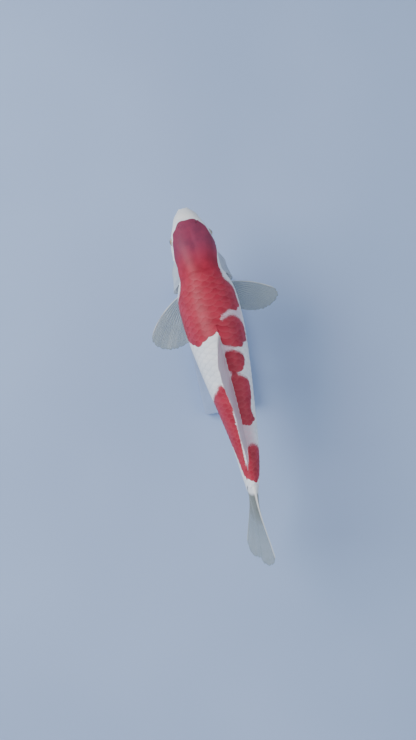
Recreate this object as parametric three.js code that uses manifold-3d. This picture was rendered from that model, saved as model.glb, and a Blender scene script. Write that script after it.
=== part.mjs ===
// A koi carp, life size, held a hand's breadth above its shelf by a plain stand.
// Millimetres, +Z up. The head points to -Y and the fish's left side to +X.
//
// The fish is shaped straight first: x runs to its left, y from the snout to the tail,
// and z up from the axis of its body. bendAlongSpine() then lays that straight fish
// on the gentle curve of its swimming pose and lifts it to its height on the stand.

import * as THREE from 'three';
import { ParametricGeometry } from 'three/addons/geometries/ParametricGeometry.js';
import { mergeVertices } from 'three/addons/utils/BufferGeometryUtils.js';
import { RoundedBoxGeometry } from 'three/addons/geometries/RoundedBoxGeometry.js';
import Module from 'manifold-3d';

const wasm = await Module();
wasm.setup();

// ---------------------------------------------------------------- driving dimensions

const BODY_LENGTH = 258; // snout to the root of the tail fin
const AXIS_HEIGHT = 98; // body's axis above the shelf
const PART_GAP = 0.3; // clear width of the thin cuts between neighbours
const CUT_GROWTH = 0.4; // growth of a faceted cutter that leaves about that gap

// Stations along the body: half width, height of the back and depth of the belly.
const BODY_STATIONS = [
  { at: 0, side: 8.2, back: 4.0, belly: 12.4 },
  { at: 12, side: 12.4, back: 10.8, belly: 16.2 },
  { at: 29, side: 18.7, back: 18.0, belly: 22.3 },
  { at: 46, side: 20.2, back: 23.8, belly: 27.2 },
  { at: 62, side: 20.6, back: 28.2, belly: 30.6 },
  { at: 80, side: 25.4, back: 32.6, belly: 33.6 },
  { at: 100, side: 26.2, back: 35.8, belly: 35.4 },
  { at: 120, side: 25.0, back: 37.0, belly: 36.0 },
  { at: 152, side: 21.1, back: 33.6, belly: 33.4 },
  { at: 184, side: 16.2, back: 26.2, belly: 26.4 },
  { at: 212, side: 12.1, back: 19.8, belly: 19.4 },
  { at: 238, side: 8.4, back: 15.8, belly: 15.6 },
  { at: 258, side: 4.6, back: 15.4, belly: 15.6 },
];
const NOSE_LENGTH = 10; // stretch over which the snout rounds off
const NOSE_DROP = 5; // tip of the snout below the body's axis
const STALK_END = 264; // fleshy end of the tail stalk, inside the tail fin's root
const WIDEST_RISE = 1.5; // level of the greatest width above the axis
const NOSE_SQUARENESS = 2.15; // section exponent of the rounded snout
const NOSE_END = 26; // station at which the snout has grown into the skull
const SKULL_SQUARENESS = 2.7; // section exponent of the broad, flat skull
const TRUNK_SQUARENESS = 2.15; // section exponent of the oval trunk
const SKULL_END = 66; // station at which the trunk's section takes over

// Cuts across the body.
const NAPE = 64;
const MID_TRUNK = 126;
const VENT = 190;

// The spine's heading, in degrees: positive drifts to the fish's right.
const FRONT_HEADING = 2.4;
const TAIL_HEADING = -5.4;
const BEND_START = 188;
const BEND_END = 256;

const EYE = { at: 28.6, out: 14.1, rise: 4.6, radius: 5.4 };
const MOUTH = { length: 13, level: -8.2, slope: 13, lipRadius: 1.7, lipReach: 7.0, lipFront: 1.7 };

const GILL_COVER = {
  front: [48, 41, 34],
  rearTop: 62.5,
  rearMost: 71.5,
  rearBottom: 45,
  topAngle: 65,
  bottomAngle: 158,
  frontThickness: 0.9,
  thickness: 2.0,
  flare: 3.0,
};

const BARBELS = [
  { name: 'barbel_lip', root: [5.6, 3.6, -8.2], reach: [2.4, 2.4, -4.4], radius: 0.55 },
  { name: 'barbel_corner', root: [8.2, 12.4, -11.4], reach: [2.6, 4.6, -8.6], radius: 0.75 },
];

const PECTORAL = {
  rootFront: [17.2, 70, -21.5],
  rootRear: [13.4, 76, -28],
  droop: 9,
  thickness: [2.6, 0.6],
  left: { lead: 70, trail: 11, curl: 17, length: [46, 55.5, 37] },
  right: { lead: 86, trail: 33, curl: 15, length: [46, 53, 24] },
};
const PELVIC = {
  rootFront: [10.6, 125, -33.0],
  rootRear: [7.0, 131.5, -35.0],
  lead: 25,
  trail: -4,
  curl: 9,
  droop: 28,
  length: [31, 38, 25],
  thickness: [2.0, 0.6],
};
const DORSAL = {
  from: 117,
  to: 213,
  rise: [46, 26, 13],
  length: [30, 27, 24],
  lean: [24, 15],
  sway: 1.6,
  thickness: [2.4, 0.7],
};
const FIRST_SPINE = 0.5; // the short first spine's share of the longest ray
const FIN_DEPTH = 1.2; // how far a fin's base starts inside the body before it is cut
const ANAL = { from: 197, to: 212, rise: [50, 33, 24], length: [32, 28, 18], thickness: [2.0, 0.6] };
const TAIL_FIN = {
  root: 257,
  rootHalfHeight: 14.6,
  tip: { upper: 323, lower: 318 },
  tipHalfHeight: 32,
  forkLength: 57,
  cornerRounding: 0.17,
  bow: 2.6,
  leanAtRoot: 4,
  leanAtTip: { upper: 20.5, lower: 17.5 },
  thickness: [3.0, 0.7],
};

const STAND = {
  length: 132,
  width: 50,
  thickness: 12,
  corner: 3,
  centre: 122,
  rods: [
    { name: 'front', at: 90 },
    { name: 'rear', at: 158 },
  ],
  rodRadius: 3,
  rodDepthInBase: 8,
  rodDepthInBody: 10,
  collarRadius: 7,
  collarHeight: 5,
};

// ---------------------------------------------------------------- small mathematics

const rad = THREE.MathUtils.degToRad;
const lerp = THREE.MathUtils.lerp;
const smooth = (value, from, to) => THREE.MathUtils.smoothstep(value, from, to);

/** A quadratic through start, middle and end values at 0, 0.5 and 1. */
function throughThree([start, middle, end], t) {
  const bow = middle - (start + end) / 2;
  return lerp(start, end, t) + 4 * bow * t * (1 - t);
}

/** One measure of the body at a station, by a smooth cubic through the stations. */
function stationValue(key, at) {
  const last = BODY_STATIONS.length - 1;
  const y = THREE.MathUtils.clamp(at, 0, BODY_STATIONS[last].at);
  let i = 0;
  while (i < last - 1 && BODY_STATIONS[i + 1].at < y) i += 1;
  const slope = (k) => {
    const before = BODY_STATIONS[Math.max(k - 1, 0)];
    const after = BODY_STATIONS[Math.min(k + 1, last)];
    return (after[key] - before[key]) / (after.at - before.at);
  };
  const here = BODY_STATIONS[i];
  const next = BODY_STATIONS[i + 1];
  const span = next.at - here.at;
  const t = (y - here.at) / span;
  const t2 = t * t;
  const t3 = t2 * t;
  return (
    here[key] * (2 * t3 - 3 * t2 + 1) +
    slope(i) * span * (t3 - 2 * t2 + t) +
    next[key] * (3 * t2 - 2 * t3) +
    slope(i + 1) * span * (t3 - t2)
  );
}

/** How far the body has opened from its rounded ends: 0 at a tip, 1 along its length. */
function endRounding(at) {
  const nose = 1 - Math.min(Math.max(at, 0) / NOSE_LENGTH, 1);
  const stalk = Math.max((at - BODY_LENGTH) / (STALK_END - BODY_LENGTH), 0);
  return Math.sqrt(Math.max(1 - nose * nose, 0)) * Math.sqrt(Math.max(1 - stalk * stalk, 0));
}

/** Point on the straight body's surface; angle 0 is the back, +90 degrees the left side. */
function bodyPoint(at, angle, grow = 0, target = new THREE.Vector3()) {
  const open = endRounding(at);
  const isTail = at > BODY_LENGTH;
  const heightOpen = isTail ? open ** 0.25 : open;
  const middle = lerp(-NOSE_DROP, WIDEST_RISE, smooth(at, 0, 40));
  const side = stationValue('side', at) * open + grow;
  const back = (stationValue('back', at) - middle) * heightOpen + grow;
  const belly = (stationValue('belly', at) + middle) * heightOpen + grow;
  const skull = lerp(NOSE_SQUARENESS, SKULL_SQUARENESS, smooth(at, 2, NOSE_END));
  const square = lerp(skull, TRUNK_SQUARENESS, smooth(at, 0, SKULL_END));
  const upper = Math.cos(angle) > 0;
  const power = 2 / (upper ? square : TRUNK_SQUARENESS);
  const sine = Math.sin(angle);
  const cosine = Math.cos(angle);
  const x = side * Math.sign(sine) * Math.abs(sine) ** power;
  const z = (upper ? back : belly) * Math.sign(cosine) * Math.abs(cosine) ** power;
  return target.set(x, at, middle + z);
}

// ---------------------------------------------------------------- closed solids

/** Welds a geometry, drops its flat triangles and turns its faces outwards. */
function closed(geometry) {
  geometry.deleteAttribute('normal');
  geometry.deleteAttribute('uv');
  const welded = mergeVertices(geometry, 1e-4);
  const position = welded.attributes.position;
  const a = new THREE.Vector3();
  const b = new THREE.Vector3();
  const c = new THREE.Vector3();
  const kept = [];
  let volume = 0;
  for (let i = 0; i < welded.index.count; i += 3) {
    const corners = [0, 1, 2].map((k) => welded.index.getX(i + k));
    if (new Set(corners).size < 3) continue;
    kept.push(...corners);
    a.fromBufferAttribute(position, corners[0]);
    b.fromBufferAttribute(position, corners[1]);
    c.fromBufferAttribute(position, corners[2]);
    volume += a.dot(b.cross(c));
  }
  if (volume < 0) kept.reverse();
  welded.setIndex(kept);
  return welded;
}

function toManifold(geometry) {
  const mesh = new wasm.Mesh({
    numProp: 3,
    vertProperties: new Float32Array(geometry.attributes.position.array),
    triVerts: new Uint32Array(geometry.index.array),
  });
  return new wasm.Manifold(mesh);
}

function fromManifold(solid) {
  const mesh = solid.getMesh();
  const geometry = new THREE.BufferGeometry();
  geometry.setAttribute('position', new THREE.BufferAttribute(mesh.vertProperties.slice(), 3));
  geometry.setIndex(new THREE.BufferAttribute(mesh.triVerts.slice(), 1));
  return geometry;
}

/** The first geometry with the others taken away from it. */
function cutAway(geometry, ...cutters) {
  let solid = toManifold(geometry);
  for (const cutter of cutters) solid = solid.subtract(toManifold(cutter));
  return fromManifold(solid);
}

/** The part of a geometry that lies inside another. */
function common(geometry, other) {
  return fromManifold(toManifold(geometry).intersect(toManifold(other)));
}

function joined(...geometries) {
  const [first, ...rest] = geometries.map(toManifold);
  return fromManifold(rest.reduce((sum, solid) => sum.add(solid), first));
}

/** Where a ring lies between two stations: closer together at the snout and the stalk's end. */
function ringPace(t, from, to) {
  if (from === 0) return t ** 1.5;
  return to === STALK_END ? 1 - (1 - t) ** 1.6 : t;
}

/** A length of the body between two stations, closed flat at both ends. */
function bodyLength(from, to, { around = 28, rings = 8, grow = 0 } = {}) {
  const place = (u, v, target) => {
    const ring = Math.round(v * (rings + 2));
    const t = THREE.MathUtils.clamp((ring - 1) / rings, 0, 1);
    const at = lerp(from, to, ringPace(t, from, to));
    if (ring > 0 && ring < rings + 2) {
      bodyPoint(at, u * 2 * Math.PI, grow, target);
      return;
    }
    const top = bodyPoint(at, 0, grow).z;
    const bottom = bodyPoint(at, Math.PI, grow).z;
    target.set(0, at, (top + bottom) / 2);
  };
  return closed(new ParametricGeometry(place, around, rings + 2));
}

/**
 * A thin solid over a mid-surface: surface(u, v) gives its points, u across and v along,
 * and thickness(u, v) its full thickness. All four rims are square.
 */
function slab(surface, thickness, across, along) {
  const nudge = 1e-3;
  const here = new THREE.Vector3();
  const du = new THREE.Vector3();
  const dv = new THREE.Vector3();
  const place = (p, q, target) => {
    const step = Math.round(p * (2 * across + 2)) % (2 * across + 2);
    const isUpper = step <= across;
    const u = (isUpper ? step : 2 * across + 1 - step) / across;
    const row = Math.round(q * (along + 2));
    const v = THREE.MathUtils.clamp((row - 1) / along, 0, 1);
    here.copy(surface(u, v));
    du.copy(surface(Math.min(u + nudge, 1), v)).sub(surface(Math.max(u - nudge, 0), v));
    dv.copy(surface(u, Math.min(v + nudge, 1))).sub(surface(u, Math.max(v - nudge, 0)));
    const isRim = row === 0 || row === along + 2;
    const half = isRim ? 0 : thickness(u, v) / 2;
    target.copy(du.cross(dv).normalize()).multiplyScalar(isUpper ? half : -half).add(here);
  };
  return closed(new ParametricGeometry(place, 2 * across + 2, along + 2));
}

// ---------------------------------------------------------------- swimming pose

const SPINE_STEP = 1;
const SPINE_REACH = 330;

/** Heading of the spine at a station, in radians. */
function spineHeading(at) {
  return rad(lerp(FRONT_HEADING, TAIL_HEADING, smooth(at, BEND_START, BEND_END)));
}

const spine = [new THREE.Vector2(0, 0)];
for (let at = 0; at < SPINE_REACH; at += SPINE_STEP) {
  const heading = spineHeading(at + SPINE_STEP / 2);
  const step = new THREE.Vector2(-Math.sin(heading), Math.cos(heading)).multiplyScalar(SPINE_STEP);
  spine.push(spine[spine.length - 1].clone().add(step));
}

/** Place in plan of a point given by its station and its distance to the fish's left. */
function spinePlace(at, left) {
  const i = THREE.MathUtils.clamp(Math.floor(at / SPINE_STEP), 0, spine.length - 2);
  const base = spine[i];
  const along = spine[i + 1].clone().sub(base).divideScalar(SPINE_STEP);
  const beyond = at - i * SPINE_STEP;
  return new THREE.Vector2(
    base.x + along.x * beyond + along.y * left,
    base.y + along.y * beyond - along.x * left,
  );
}

const STAND_CENTRE = spinePlace(STAND.centre, 0);

/** Lays a straight-fish geometry along the spine, over the middle of the stand. */
function bendAlongSpine(geometry) {
  const position = geometry.attributes.position;
  for (let i = 0; i < position.count; i += 1) {
    const place = spinePlace(position.getY(i), position.getX(i)).sub(STAND_CENTRE);
    position.setXYZ(i, place.x, place.y, position.getZ(i) + AXIS_HEIGHT);
  }
  return geometry;
}

/** The same geometry on the fish's other side. */
function mirrored(geometry) {
  const copy = geometry.clone();
  copy.scale(-1, 1, 1);
  const index = Array.from(copy.index.array).reverse();
  copy.setIndex(index);
  return copy;
}

// ---------------------------------------------------------------- materials

const finish = (color, roughness, metalness = 0) =>
  new THREE.MeshStandardMaterial({ color, roughness, metalness });
const FLESH_RED = finish('#b93a34', 0.4);
const FLESH_WHITE = finish('#e9e4dc', 0.4);
const FIN = finish('#c9d2d2', 0.45);
const EYE_GLASS = finish('#1b1a18', 0.1);
const STAND_PAINT = finish('#c3c8cb', 0.6);
const STAND_STEEL = finish('#a7abae', 0.3, 1);

const koi = new THREE.Group();

function addNode(name, geometry, material) {
  const mesh = new THREE.Mesh(geometry, material);
  mesh.name = name;
  koi.add(mesh);
  return mesh;
}

// ---------------------------------------------------------------- head and mouth

/** A round-ended path following the lips: forward round the snout, from corner to corner. */
class LipCurve extends THREE.Curve {
  constructor(drop) {
    super();
    this.drop = drop;
  }

  getPoint(t, target = new THREE.Vector3()) {
    const angle = lerp(-100, 100, t);
    const x = MOUTH.lipReach * Math.sin(rad(angle));
    const y = MOUTH.length - (MOUTH.length - MOUTH.lipFront) * Math.cos(rad(angle * 0.86));
    const sag = Math.tan(rad(MOUTH.slope)) * y;
    return target.set(x, y, MOUTH.level - this.drop - sag);
  }
}

function lip(drop, grow = 0) {
  const section = new THREE.Shape().absarc(0, 0, MOUTH.lipRadius + grow, 0, 2 * Math.PI);
  const options = { steps: 9, curveSegments: 3, bevelEnabled: false, extrudePath: new LipCurve(drop) };
  return closed(new THREE.ExtrudeGeometry(section, options));
}

/** The wedge of space that holds the lower jaw, grown by a gap for cutting the head. */
function jawSpace(gap) {
  const length = 2 * (MOUTH.length + gap);
  const depth = 30;
  const block = new THREE.BoxGeometry(40, length, depth);
  block.translate(0, 0, -depth / 2 + gap / 2);
  block.rotateX(rad(-MOUTH.slope));
  block.translate(0, 0, MOUTH.level - MOUTH.lipRadius * 0.1);
  return closed(block);
}

const headWhole = bodyLength(0, NAPE - PART_GAP / 2, { around: 30, rings: 14 });
const eyeBall = new THREE.SphereGeometry(EYE.radius, 14, 8);
eyeBall.rotateZ(-Math.PI / 2);
eyeBall.translate(EYE.out, EYE.at, EYE.rise);
const eyeLeft = closed(eyeBall);
const socket = closed(
  new THREE.SphereGeometry(EYE.radius + PART_GAP, 14, 8)
    .rotateZ(-Math.PI / 2)
    .translate(EYE.out, EYE.at, EYE.rise),
);

const upperLipDrop = -MOUTH.lipRadius - 0.1;
const lowerLipDrop = MOUTH.lipRadius + 0.1;
const upperLip = lip(upperLipDrop);
const lowerLip = lip(lowerLipDrop);
const jaw = joined(common(headWhole, jawSpace(0)), common(lowerLip, jawSpace(0)));
const skull = cutAway(
  joined(headWhole, upperLip),
  jawSpace(2 * PART_GAP),
  socket,
  mirrored(socket),
);

// ---------------------------------------------------------------- gill covers

/** Mid-surface of the left gill cover: u from its front edge to its rear, v downwards. */
function coverSurface(u, v) {
  const angle = rad(lerp(GILL_COVER.topAngle, GILL_COVER.bottomAngle, v));
  const front = throughThree(GILL_COVER.front, v);
  const round = Math.sin(Math.PI * v ** 0.85) ** 0.7;
  const chord = lerp(GILL_COVER.rearTop, GILL_COVER.rearBottom, v);
  const rear = lerp(chord, GILL_COVER.rearMost, round);
  const at = lerp(front, rear, u);
  const opening = smooth(u, 0, 0.45) * smooth(v, 0, 0.26) * (1 - 0.6 * smooth(v, 0.6, 1));
  const lift = PART_GAP + coverThickness(u, v) / 2 + 0.1 + GILL_COVER.flare * opening;
  return bodyPoint(at, angle, lift);
}

/** Thickness of the gill cover: thin at its hinge and along its soft lower edge. */
function coverThickness(u, v) {
  const plate = lerp(GILL_COVER.frontThickness, GILL_COVER.thickness, smooth(u, 0, 0.35));
  return plate * (1 - 0.4 * smooth(u, 0.65, 1)) * (1 - 0.3 * smooth(v, 0.7, 1));
}

const coverLeft = slab(coverSurface, coverThickness, 8, 10);

// ---------------------------------------------------------------- fins

const fromArray = ([x, y, z]) => new THREE.Vector3(x, y, z);

/** Thickness of a fin: its root's, thinning quickly to its web's. */
const finThickness = ([root, web]) => (u, v) => lerp(web, root, (1 - v) ** 2);

/**
 * Mid-surface of a paired fin on the left side. The rays fan out in plan between the
 * leading and trailing angles from straight back, curl backwards and droop outwards.
 */
function pairedFinSurface({ rootFront, rootRear, lead, trail, curl, droop, length }) {
  const front = fromArray(rootFront);
  const rear = fromArray(rootRear);
  return (u, v) => {
    const angle = rad(lerp(lead, trail, u) - curl * v * (1 - u));
    const reach = throughThree(length, u ** 0.6) * v;
    const point = front.clone().lerp(rear, u);
    point.x += reach * Math.sin(angle) * Math.cos(rad(droop));
    point.y += reach * Math.cos(angle) * Math.cos(rad(droop) * Math.abs(Math.sin(angle)));
    point.z -= reach * Math.sin(rad(droop)) * (0.35 + 0.65 * Math.sin(angle));
    return point;
  };
}

/** Mid-surface of a fin on the back (side 1) or belly (side -1), its rays laid back. */
function medianFinSurface({ from, to, rise, length, lean = [0, 0], sway = 0 }, side) {
  return (u, v) => {
    const at = lerp(from, to, u);
    const ridge = bodyPoint(at, side > 0 ? 0 : Math.PI, -FIN_DEPTH);
    const angle = rad(throughThree(rise, u));
    const spines = lerp(FIRST_SPINE, 1, smooth(u, 0, 0.07));
    const reach = throughThree(length, u) * spines * v + FIN_DEPTH;
    const up = reach * Math.sin(angle);
    ridge.y += reach * Math.cos(angle);
    ridge.z += side * up;
    const tilt = rad(lerp(lean[0], lean[1], smooth(u, 0, 0.45)));
    ridge.x += Math.sin(tilt) * up + sway * v * smooth(u, 0, 0.3);
    return ridge;
  };
}

/** Mid-surface of one lobe of the tail fin (side 1 above, -1 below), leading ray first. */
function tailLobeSurface(side) {
  const { root, rootHalfHeight, tipHalfHeight, forkLength } = TAIL_FIN;
  const lobe = side > 0 ? 'upper' : 'lower';
  const tip = TAIL_FIN.tip[lobe];
  return (u, v) => {
    const outer = 1 - u;
    const rounding = 1 - TAIL_FIN.cornerRounding * outer ** 4;
    const rayLength = lerp(forkLength, tip - root, outer ** 0.5) * rounding;
    const spread = lerp(PART_GAP / 2, rootHalfHeight, outer);
    const tipSpread = lerp(PART_GAP / 2, tipHalfHeight, outer ** 0.9);
    const bow = TAIL_FIN.bow * Math.sin(Math.PI * v) * outer;
    const height = lerp(spread, tipSpread, v) + bow;
    const at = root + rayLength * v;
    const turned = lerp(TAIL_FIN.leanAtRoot, TAIL_FIN.leanAtTip[lobe], smooth(at, root, tip));
    const lean = rad(turned) * outer ** 0.6;
    return new THREE.Vector3(-side * height * Math.sin(lean), at, side * height * Math.cos(lean));
  };
}

const headGrown = bodyLength(0, NAPE, { around: 30, rings: 14, grow: CUT_GROWTH });
const trunkGrown = bodyLength(50, 230, { rings: 20, grow: CUT_GROWTH });
const stalkGrown = bodyLength(VENT, STALK_END, { rings: 12, grow: CUT_GROWTH });
const stalkBeyond = stalkGrown.clone().translate(0, PART_GAP, 0);

function pairedFin(shape, options) {
  const surface = pairedFinSurface({ ...shape, ...options });
  return cutAway(slab(surface, finThickness(shape.thickness), 8, 5), trunkGrown);
}

const pectoralLeft = pairedFin(PECTORAL, PECTORAL.left);
const pectoralRight = mirrored(pairedFin(PECTORAL, PECTORAL.right));
const pelvicLeft = pairedFin(PELVIC, {});
const medianFin = (shape, side, across) =>
  cutAway(slab(medianFinSurface(shape, side), finThickness(shape.thickness), across, 3), trunkGrown);
const dorsal = medianFin(DORSAL, 1, 15);
const anal = medianFin(ANAL, -1, 7);
const tailLobe = (side) =>
  cutAway(slab(tailLobeSurface(side), finThickness(TAIL_FIN.thickness), 8, 6), stalkGrown, stalkBeyond);
const tailUpper = tailLobe(1);
const tailLower = tailLobe(-1);

// ---------------------------------------------------------------- barbels

function barbel({ root, reach, radius }) {
  const start = fromArray(root);
  const end = start.clone().add(fromArray(reach));
  const elbow = start.clone().lerp(end, 0.55);
  elbow.x += 1.2;
  const path = new THREE.QuadraticBezierCurve3(start, elbow, end);
  const section = new THREE.Shape().absarc(0, 0, radius, 0, 2 * Math.PI);
  const options = { steps: 5, curveSegments: 3, bevelEnabled: false, extrudePath: path };
  const lips = [lip(upperLipDrop, CUT_GROWTH), lip(lowerLipDrop, CUT_GROWTH)];
  return cutAway(closed(new THREE.ExtrudeGeometry(section, options)), headGrown, ...lips);
}

// ---------------------------------------------------------------- stand

const rodPlaces = STAND.rods.map(({ name, at }) => {
  const plan = spinePlace(at, 0).sub(STAND_CENTRE);
  const belly = AXIS_HEIGHT - stationValue('belly', at);
  return { name, plan, top: belly + STAND.rodDepthInBody };
});

/** An upright cylinder in world place, between two heights. */
function upright({ plan }, radius, bottom, top, sides = 20) {
  const geometry = new THREE.CylinderGeometry(radius, radius, top - bottom, sides);
  geometry.rotateX(Math.PI / 2);
  geometry.translate(plan.x, plan.y, (top + bottom) / 2);
  return closed(geometry);
}

function collar({ plan }) {
  const inner = STAND.rodRadius + PART_GAP;
  const bottom = STAND.thickness + PART_GAP;
  const outline = [
    new THREE.Vector2(inner, 0),
    new THREE.Vector2(STAND.collarRadius, 0),
    new THREE.Vector2(STAND.collarRadius, STAND.collarHeight * 0.45),
    new THREE.Vector2(STAND.collarRadius * 0.72, STAND.collarHeight * 0.75),
    new THREE.Vector2(inner + 0.8, STAND.collarHeight),
    new THREE.Vector2(inner, STAND.collarHeight),
    new THREE.Vector2(inner, 0),
  ];
  const geometry = new THREE.LatheGeometry(outline, 20);
  geometry.rotateX(Math.PI / 2);
  geometry.translate(plan.x, plan.y, bottom);
  return closed(geometry);
}

// ---------------------------------------------------------------- the nodes

const sockets = rodPlaces.map((rod) => upright(rod, STAND.rodRadius + PART_GAP, 0, rod.top + PART_GAP));

addNode('head', bendAlongSpine(skull), FLESH_RED);
addNode('lower_jaw', bendAlongSpine(jaw), FLESH_WHITE);
addNode('gill_cover_left', bendAlongSpine(coverLeft.clone()), FLESH_WHITE);
addNode('gill_cover_right', bendAlongSpine(mirrored(coverLeft)), FLESH_WHITE);
addNode('eye_left', bendAlongSpine(eyeLeft.clone()), EYE_GLASS);
addNode('eye_right', bendAlongSpine(mirrored(eyeLeft)), EYE_GLASS);

const half = PART_GAP / 2;
const trunkFront = bendAlongSpine(bodyLength(NAPE + half, MID_TRUNK - half, { rings: 7 }));
const trunkRear = bendAlongSpine(bodyLength(MID_TRUNK + half, VENT - half, { rings: 7 }));
const tailStalk = bendAlongSpine(bodyLength(VENT + half, STALK_END, { rings: 12 }));
addNode('trunk_front', cutAway(trunkFront, sockets[0]), FLESH_RED);
addNode('trunk_rear', cutAway(trunkRear, sockets[1]), FLESH_WHITE);
addNode('tail_stalk', tailStalk, FLESH_RED);

for (const shape of BARBELS) {
  const left = barbel(shape);
  addNode(`${shape.name}_left`, bendAlongSpine(left.clone()), FLESH_WHITE);
  addNode(`${shape.name}_right`, bendAlongSpine(mirrored(left)), FLESH_WHITE);
}

addNode('pectoral_fin_left', bendAlongSpine(pectoralLeft), FIN);
addNode('pectoral_fin_right', bendAlongSpine(pectoralRight), FIN);
addNode('pelvic_fin_left', bendAlongSpine(pelvicLeft.clone()), FIN);
addNode('pelvic_fin_right', bendAlongSpine(mirrored(pelvicLeft)), FIN);
addNode('dorsal_fin', bendAlongSpine(dorsal), FIN);
addNode('anal_fin', bendAlongSpine(anal), FIN);
addNode('tail_fin_upper', bendAlongSpine(tailUpper), FIN);
addNode('tail_fin_lower', bendAlongSpine(tailLower), FIN);

const plate = new RoundedBoxGeometry(STAND.width, STAND.length, STAND.thickness, 1, STAND.corner);
plate.translate(0, 0, STAND.thickness / 2);
const rodFoot = STAND.thickness - STAND.rodDepthInBase;
const rodHoles = rodPlaces.map((rod) =>
  upright(rod, STAND.rodRadius + PART_GAP, rodFoot - PART_GAP, 2 * STAND.thickness),
);
addNode('stand_base', cutAway(closed(plate), ...rodHoles), STAND_PAINT);
for (const rod of rodPlaces) {
  addNode(`stand_rod_${rod.name}`, upright(rod, STAND.rodRadius, rodFoot, rod.top), STAND_STEEL);
  addNode(`stand_collar_${rod.name}`, collar(rod), STAND_STEEL);
}

export default koi;
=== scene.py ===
"""A life-size koi carp, red on white, on a plain display stand.

The fish is shaped straight first: x runs to its left, y from the snout to the tail and z up from
the axis of its body, all in millimetres. Spine.lay then sets that straight fish on the gentle
curve of its swimming pose and turns millimetres to the frame's metres.
"""

import logging
import math
from contextlib import contextmanager
from dataclasses import dataclass, field
from enum import Enum
from typing import Iterator, NamedTuple

import bmesh
import bpy
import numpy as np
from mathutils import Matrix, Vector

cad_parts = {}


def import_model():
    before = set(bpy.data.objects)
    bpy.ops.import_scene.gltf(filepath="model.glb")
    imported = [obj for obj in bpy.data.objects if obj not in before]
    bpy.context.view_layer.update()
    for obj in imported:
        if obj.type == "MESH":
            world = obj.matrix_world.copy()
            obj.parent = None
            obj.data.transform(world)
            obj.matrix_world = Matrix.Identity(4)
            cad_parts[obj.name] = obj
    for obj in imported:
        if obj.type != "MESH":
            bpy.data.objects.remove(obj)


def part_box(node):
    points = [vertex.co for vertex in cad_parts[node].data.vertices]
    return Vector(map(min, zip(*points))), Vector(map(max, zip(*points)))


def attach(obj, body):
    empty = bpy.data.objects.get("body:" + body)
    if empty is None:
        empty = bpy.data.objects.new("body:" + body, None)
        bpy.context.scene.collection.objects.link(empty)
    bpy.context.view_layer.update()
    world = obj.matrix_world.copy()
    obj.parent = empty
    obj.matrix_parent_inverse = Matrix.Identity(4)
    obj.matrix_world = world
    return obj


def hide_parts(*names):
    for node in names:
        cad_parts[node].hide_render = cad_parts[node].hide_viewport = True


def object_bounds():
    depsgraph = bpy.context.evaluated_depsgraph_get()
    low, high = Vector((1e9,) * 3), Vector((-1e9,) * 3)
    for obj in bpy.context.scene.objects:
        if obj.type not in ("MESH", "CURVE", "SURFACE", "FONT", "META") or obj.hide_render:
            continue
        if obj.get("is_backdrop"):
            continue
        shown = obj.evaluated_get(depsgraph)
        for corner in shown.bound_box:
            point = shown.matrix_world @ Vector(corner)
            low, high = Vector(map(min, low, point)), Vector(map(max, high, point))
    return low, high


LOG = logging.getLogger("koi")
MM = 0.001
WELD = 1e-7
ROOT = "root"
Array = np.ndarray
Colour = tuple[float, float, float, float]


class Side(Enum):
    """Side of the fish; the value is the sign of x in the straight fish."""

    LEFT = 1
    RIGHT = -1

    @property
    def word(self) -> str:
        """The side's name as the nodes spell it."""
        return self.name.lower()


# ---------------------------------------------------------------- small mathematics


def smooth(value: Array | float, start: float, end: float) -> Array:
    """A smooth step from 0 at start to 1 at end."""
    t = np.clip((np.asarray(value, float) - start) / (end - start), 0.0, 1.0)
    return t * t * (3.0 - 2.0 * t)


def lerp(start: Array | float, end: Array | float, share: Array | float) -> Array:
    """The value a share of the way from start to end."""
    return start + (end - start) * share


def fade(value: Array | float, start: float, end: float) -> Array:
    """A smooth step down from 1 at start to 0 at end."""
    return 1.0 - smooth(value, start, end)


def window(value: Array, start: float, full: float, fading: float, end: float) -> Array:
    """A smooth rise from start to full and a smooth fall from fading to end."""
    return smooth(value, start, full) * fade(value, fading, end)


def bell(distance: Array, width: float) -> Array:
    """A rounded hump, 1 at no distance and fading over about the width."""
    return np.exp(-((distance / width) ** 2))


def spot(across: Array, along: Array, width: float, length: float) -> Array:
    """A rounded hump in two directions, fading over about its width and length."""
    return np.exp(-((across / width) ** 2) - (along / length) ** 2)


def onto_left(points: Array) -> Array:
    """Points, those of the fish's right side mirrored onto its left."""
    return np.column_stack([np.abs(points[:, 0]), points[:, 1:]])


def through_three(values: tuple[float, float, float], t: Array) -> Array:
    """A quadratic through start, middle and end values at 0, 0.5 and 1."""
    start, middle, end = values
    bow = middle - (start + end) / 2.0
    return lerp(start, end, t) + 4.0 * bow * t * (1.0 - t)


def rounded(knots: Array, steps: int, closed: bool) -> Array:
    """A smooth line through knots.

    Args:
        knots: rows of the knots' coordinates.
        steps: points made for each stretch between two knots.
        closed: whether the line returns to its start.

    Returns:
        Rows of points, the knots among them.
    """
    if closed:
        before, after, beyond = (np.roll(knots, shift, axis=0) for shift in (1, -1, -2))
    else:
        padded = np.vstack([knots[:1], knots, knots[-1:], knots[-1:]])
        before, after, beyond = padded[:-3], padded[2:-1], padded[3:]
    stretches = []
    for step in range(steps):
        t = step / steps
        line = knots + 0.5 * t * (after - before)
        line += t * t * (before - 2.5 * knots + 2.0 * after - 0.5 * beyond)
        line += t**3 * (1.5 * (knots - after) + 0.5 * (beyond - before))
        stretches.append(line)
    line = np.stack(stretches, axis=1).reshape(-1, knots.shape[1])
    return line if closed else line[: (len(knots) - 1) * steps + 1]


def srgb(red: int, green: int, blue: int) -> Colour:
    """A display colour of 0 to 255 a channel as the linear colour a shader takes."""

    def linear(channel: int) -> float:
        """One channel made linear."""
        share = channel / 255.0
        return share / 12.92 if share <= 0.04045 else ((share + 0.055) / 1.055) ** 2.4

    return (linear(red), linear(green), linear(blue), 1.0)


# ---------------------------------------------------------------- mesh helpers


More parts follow.
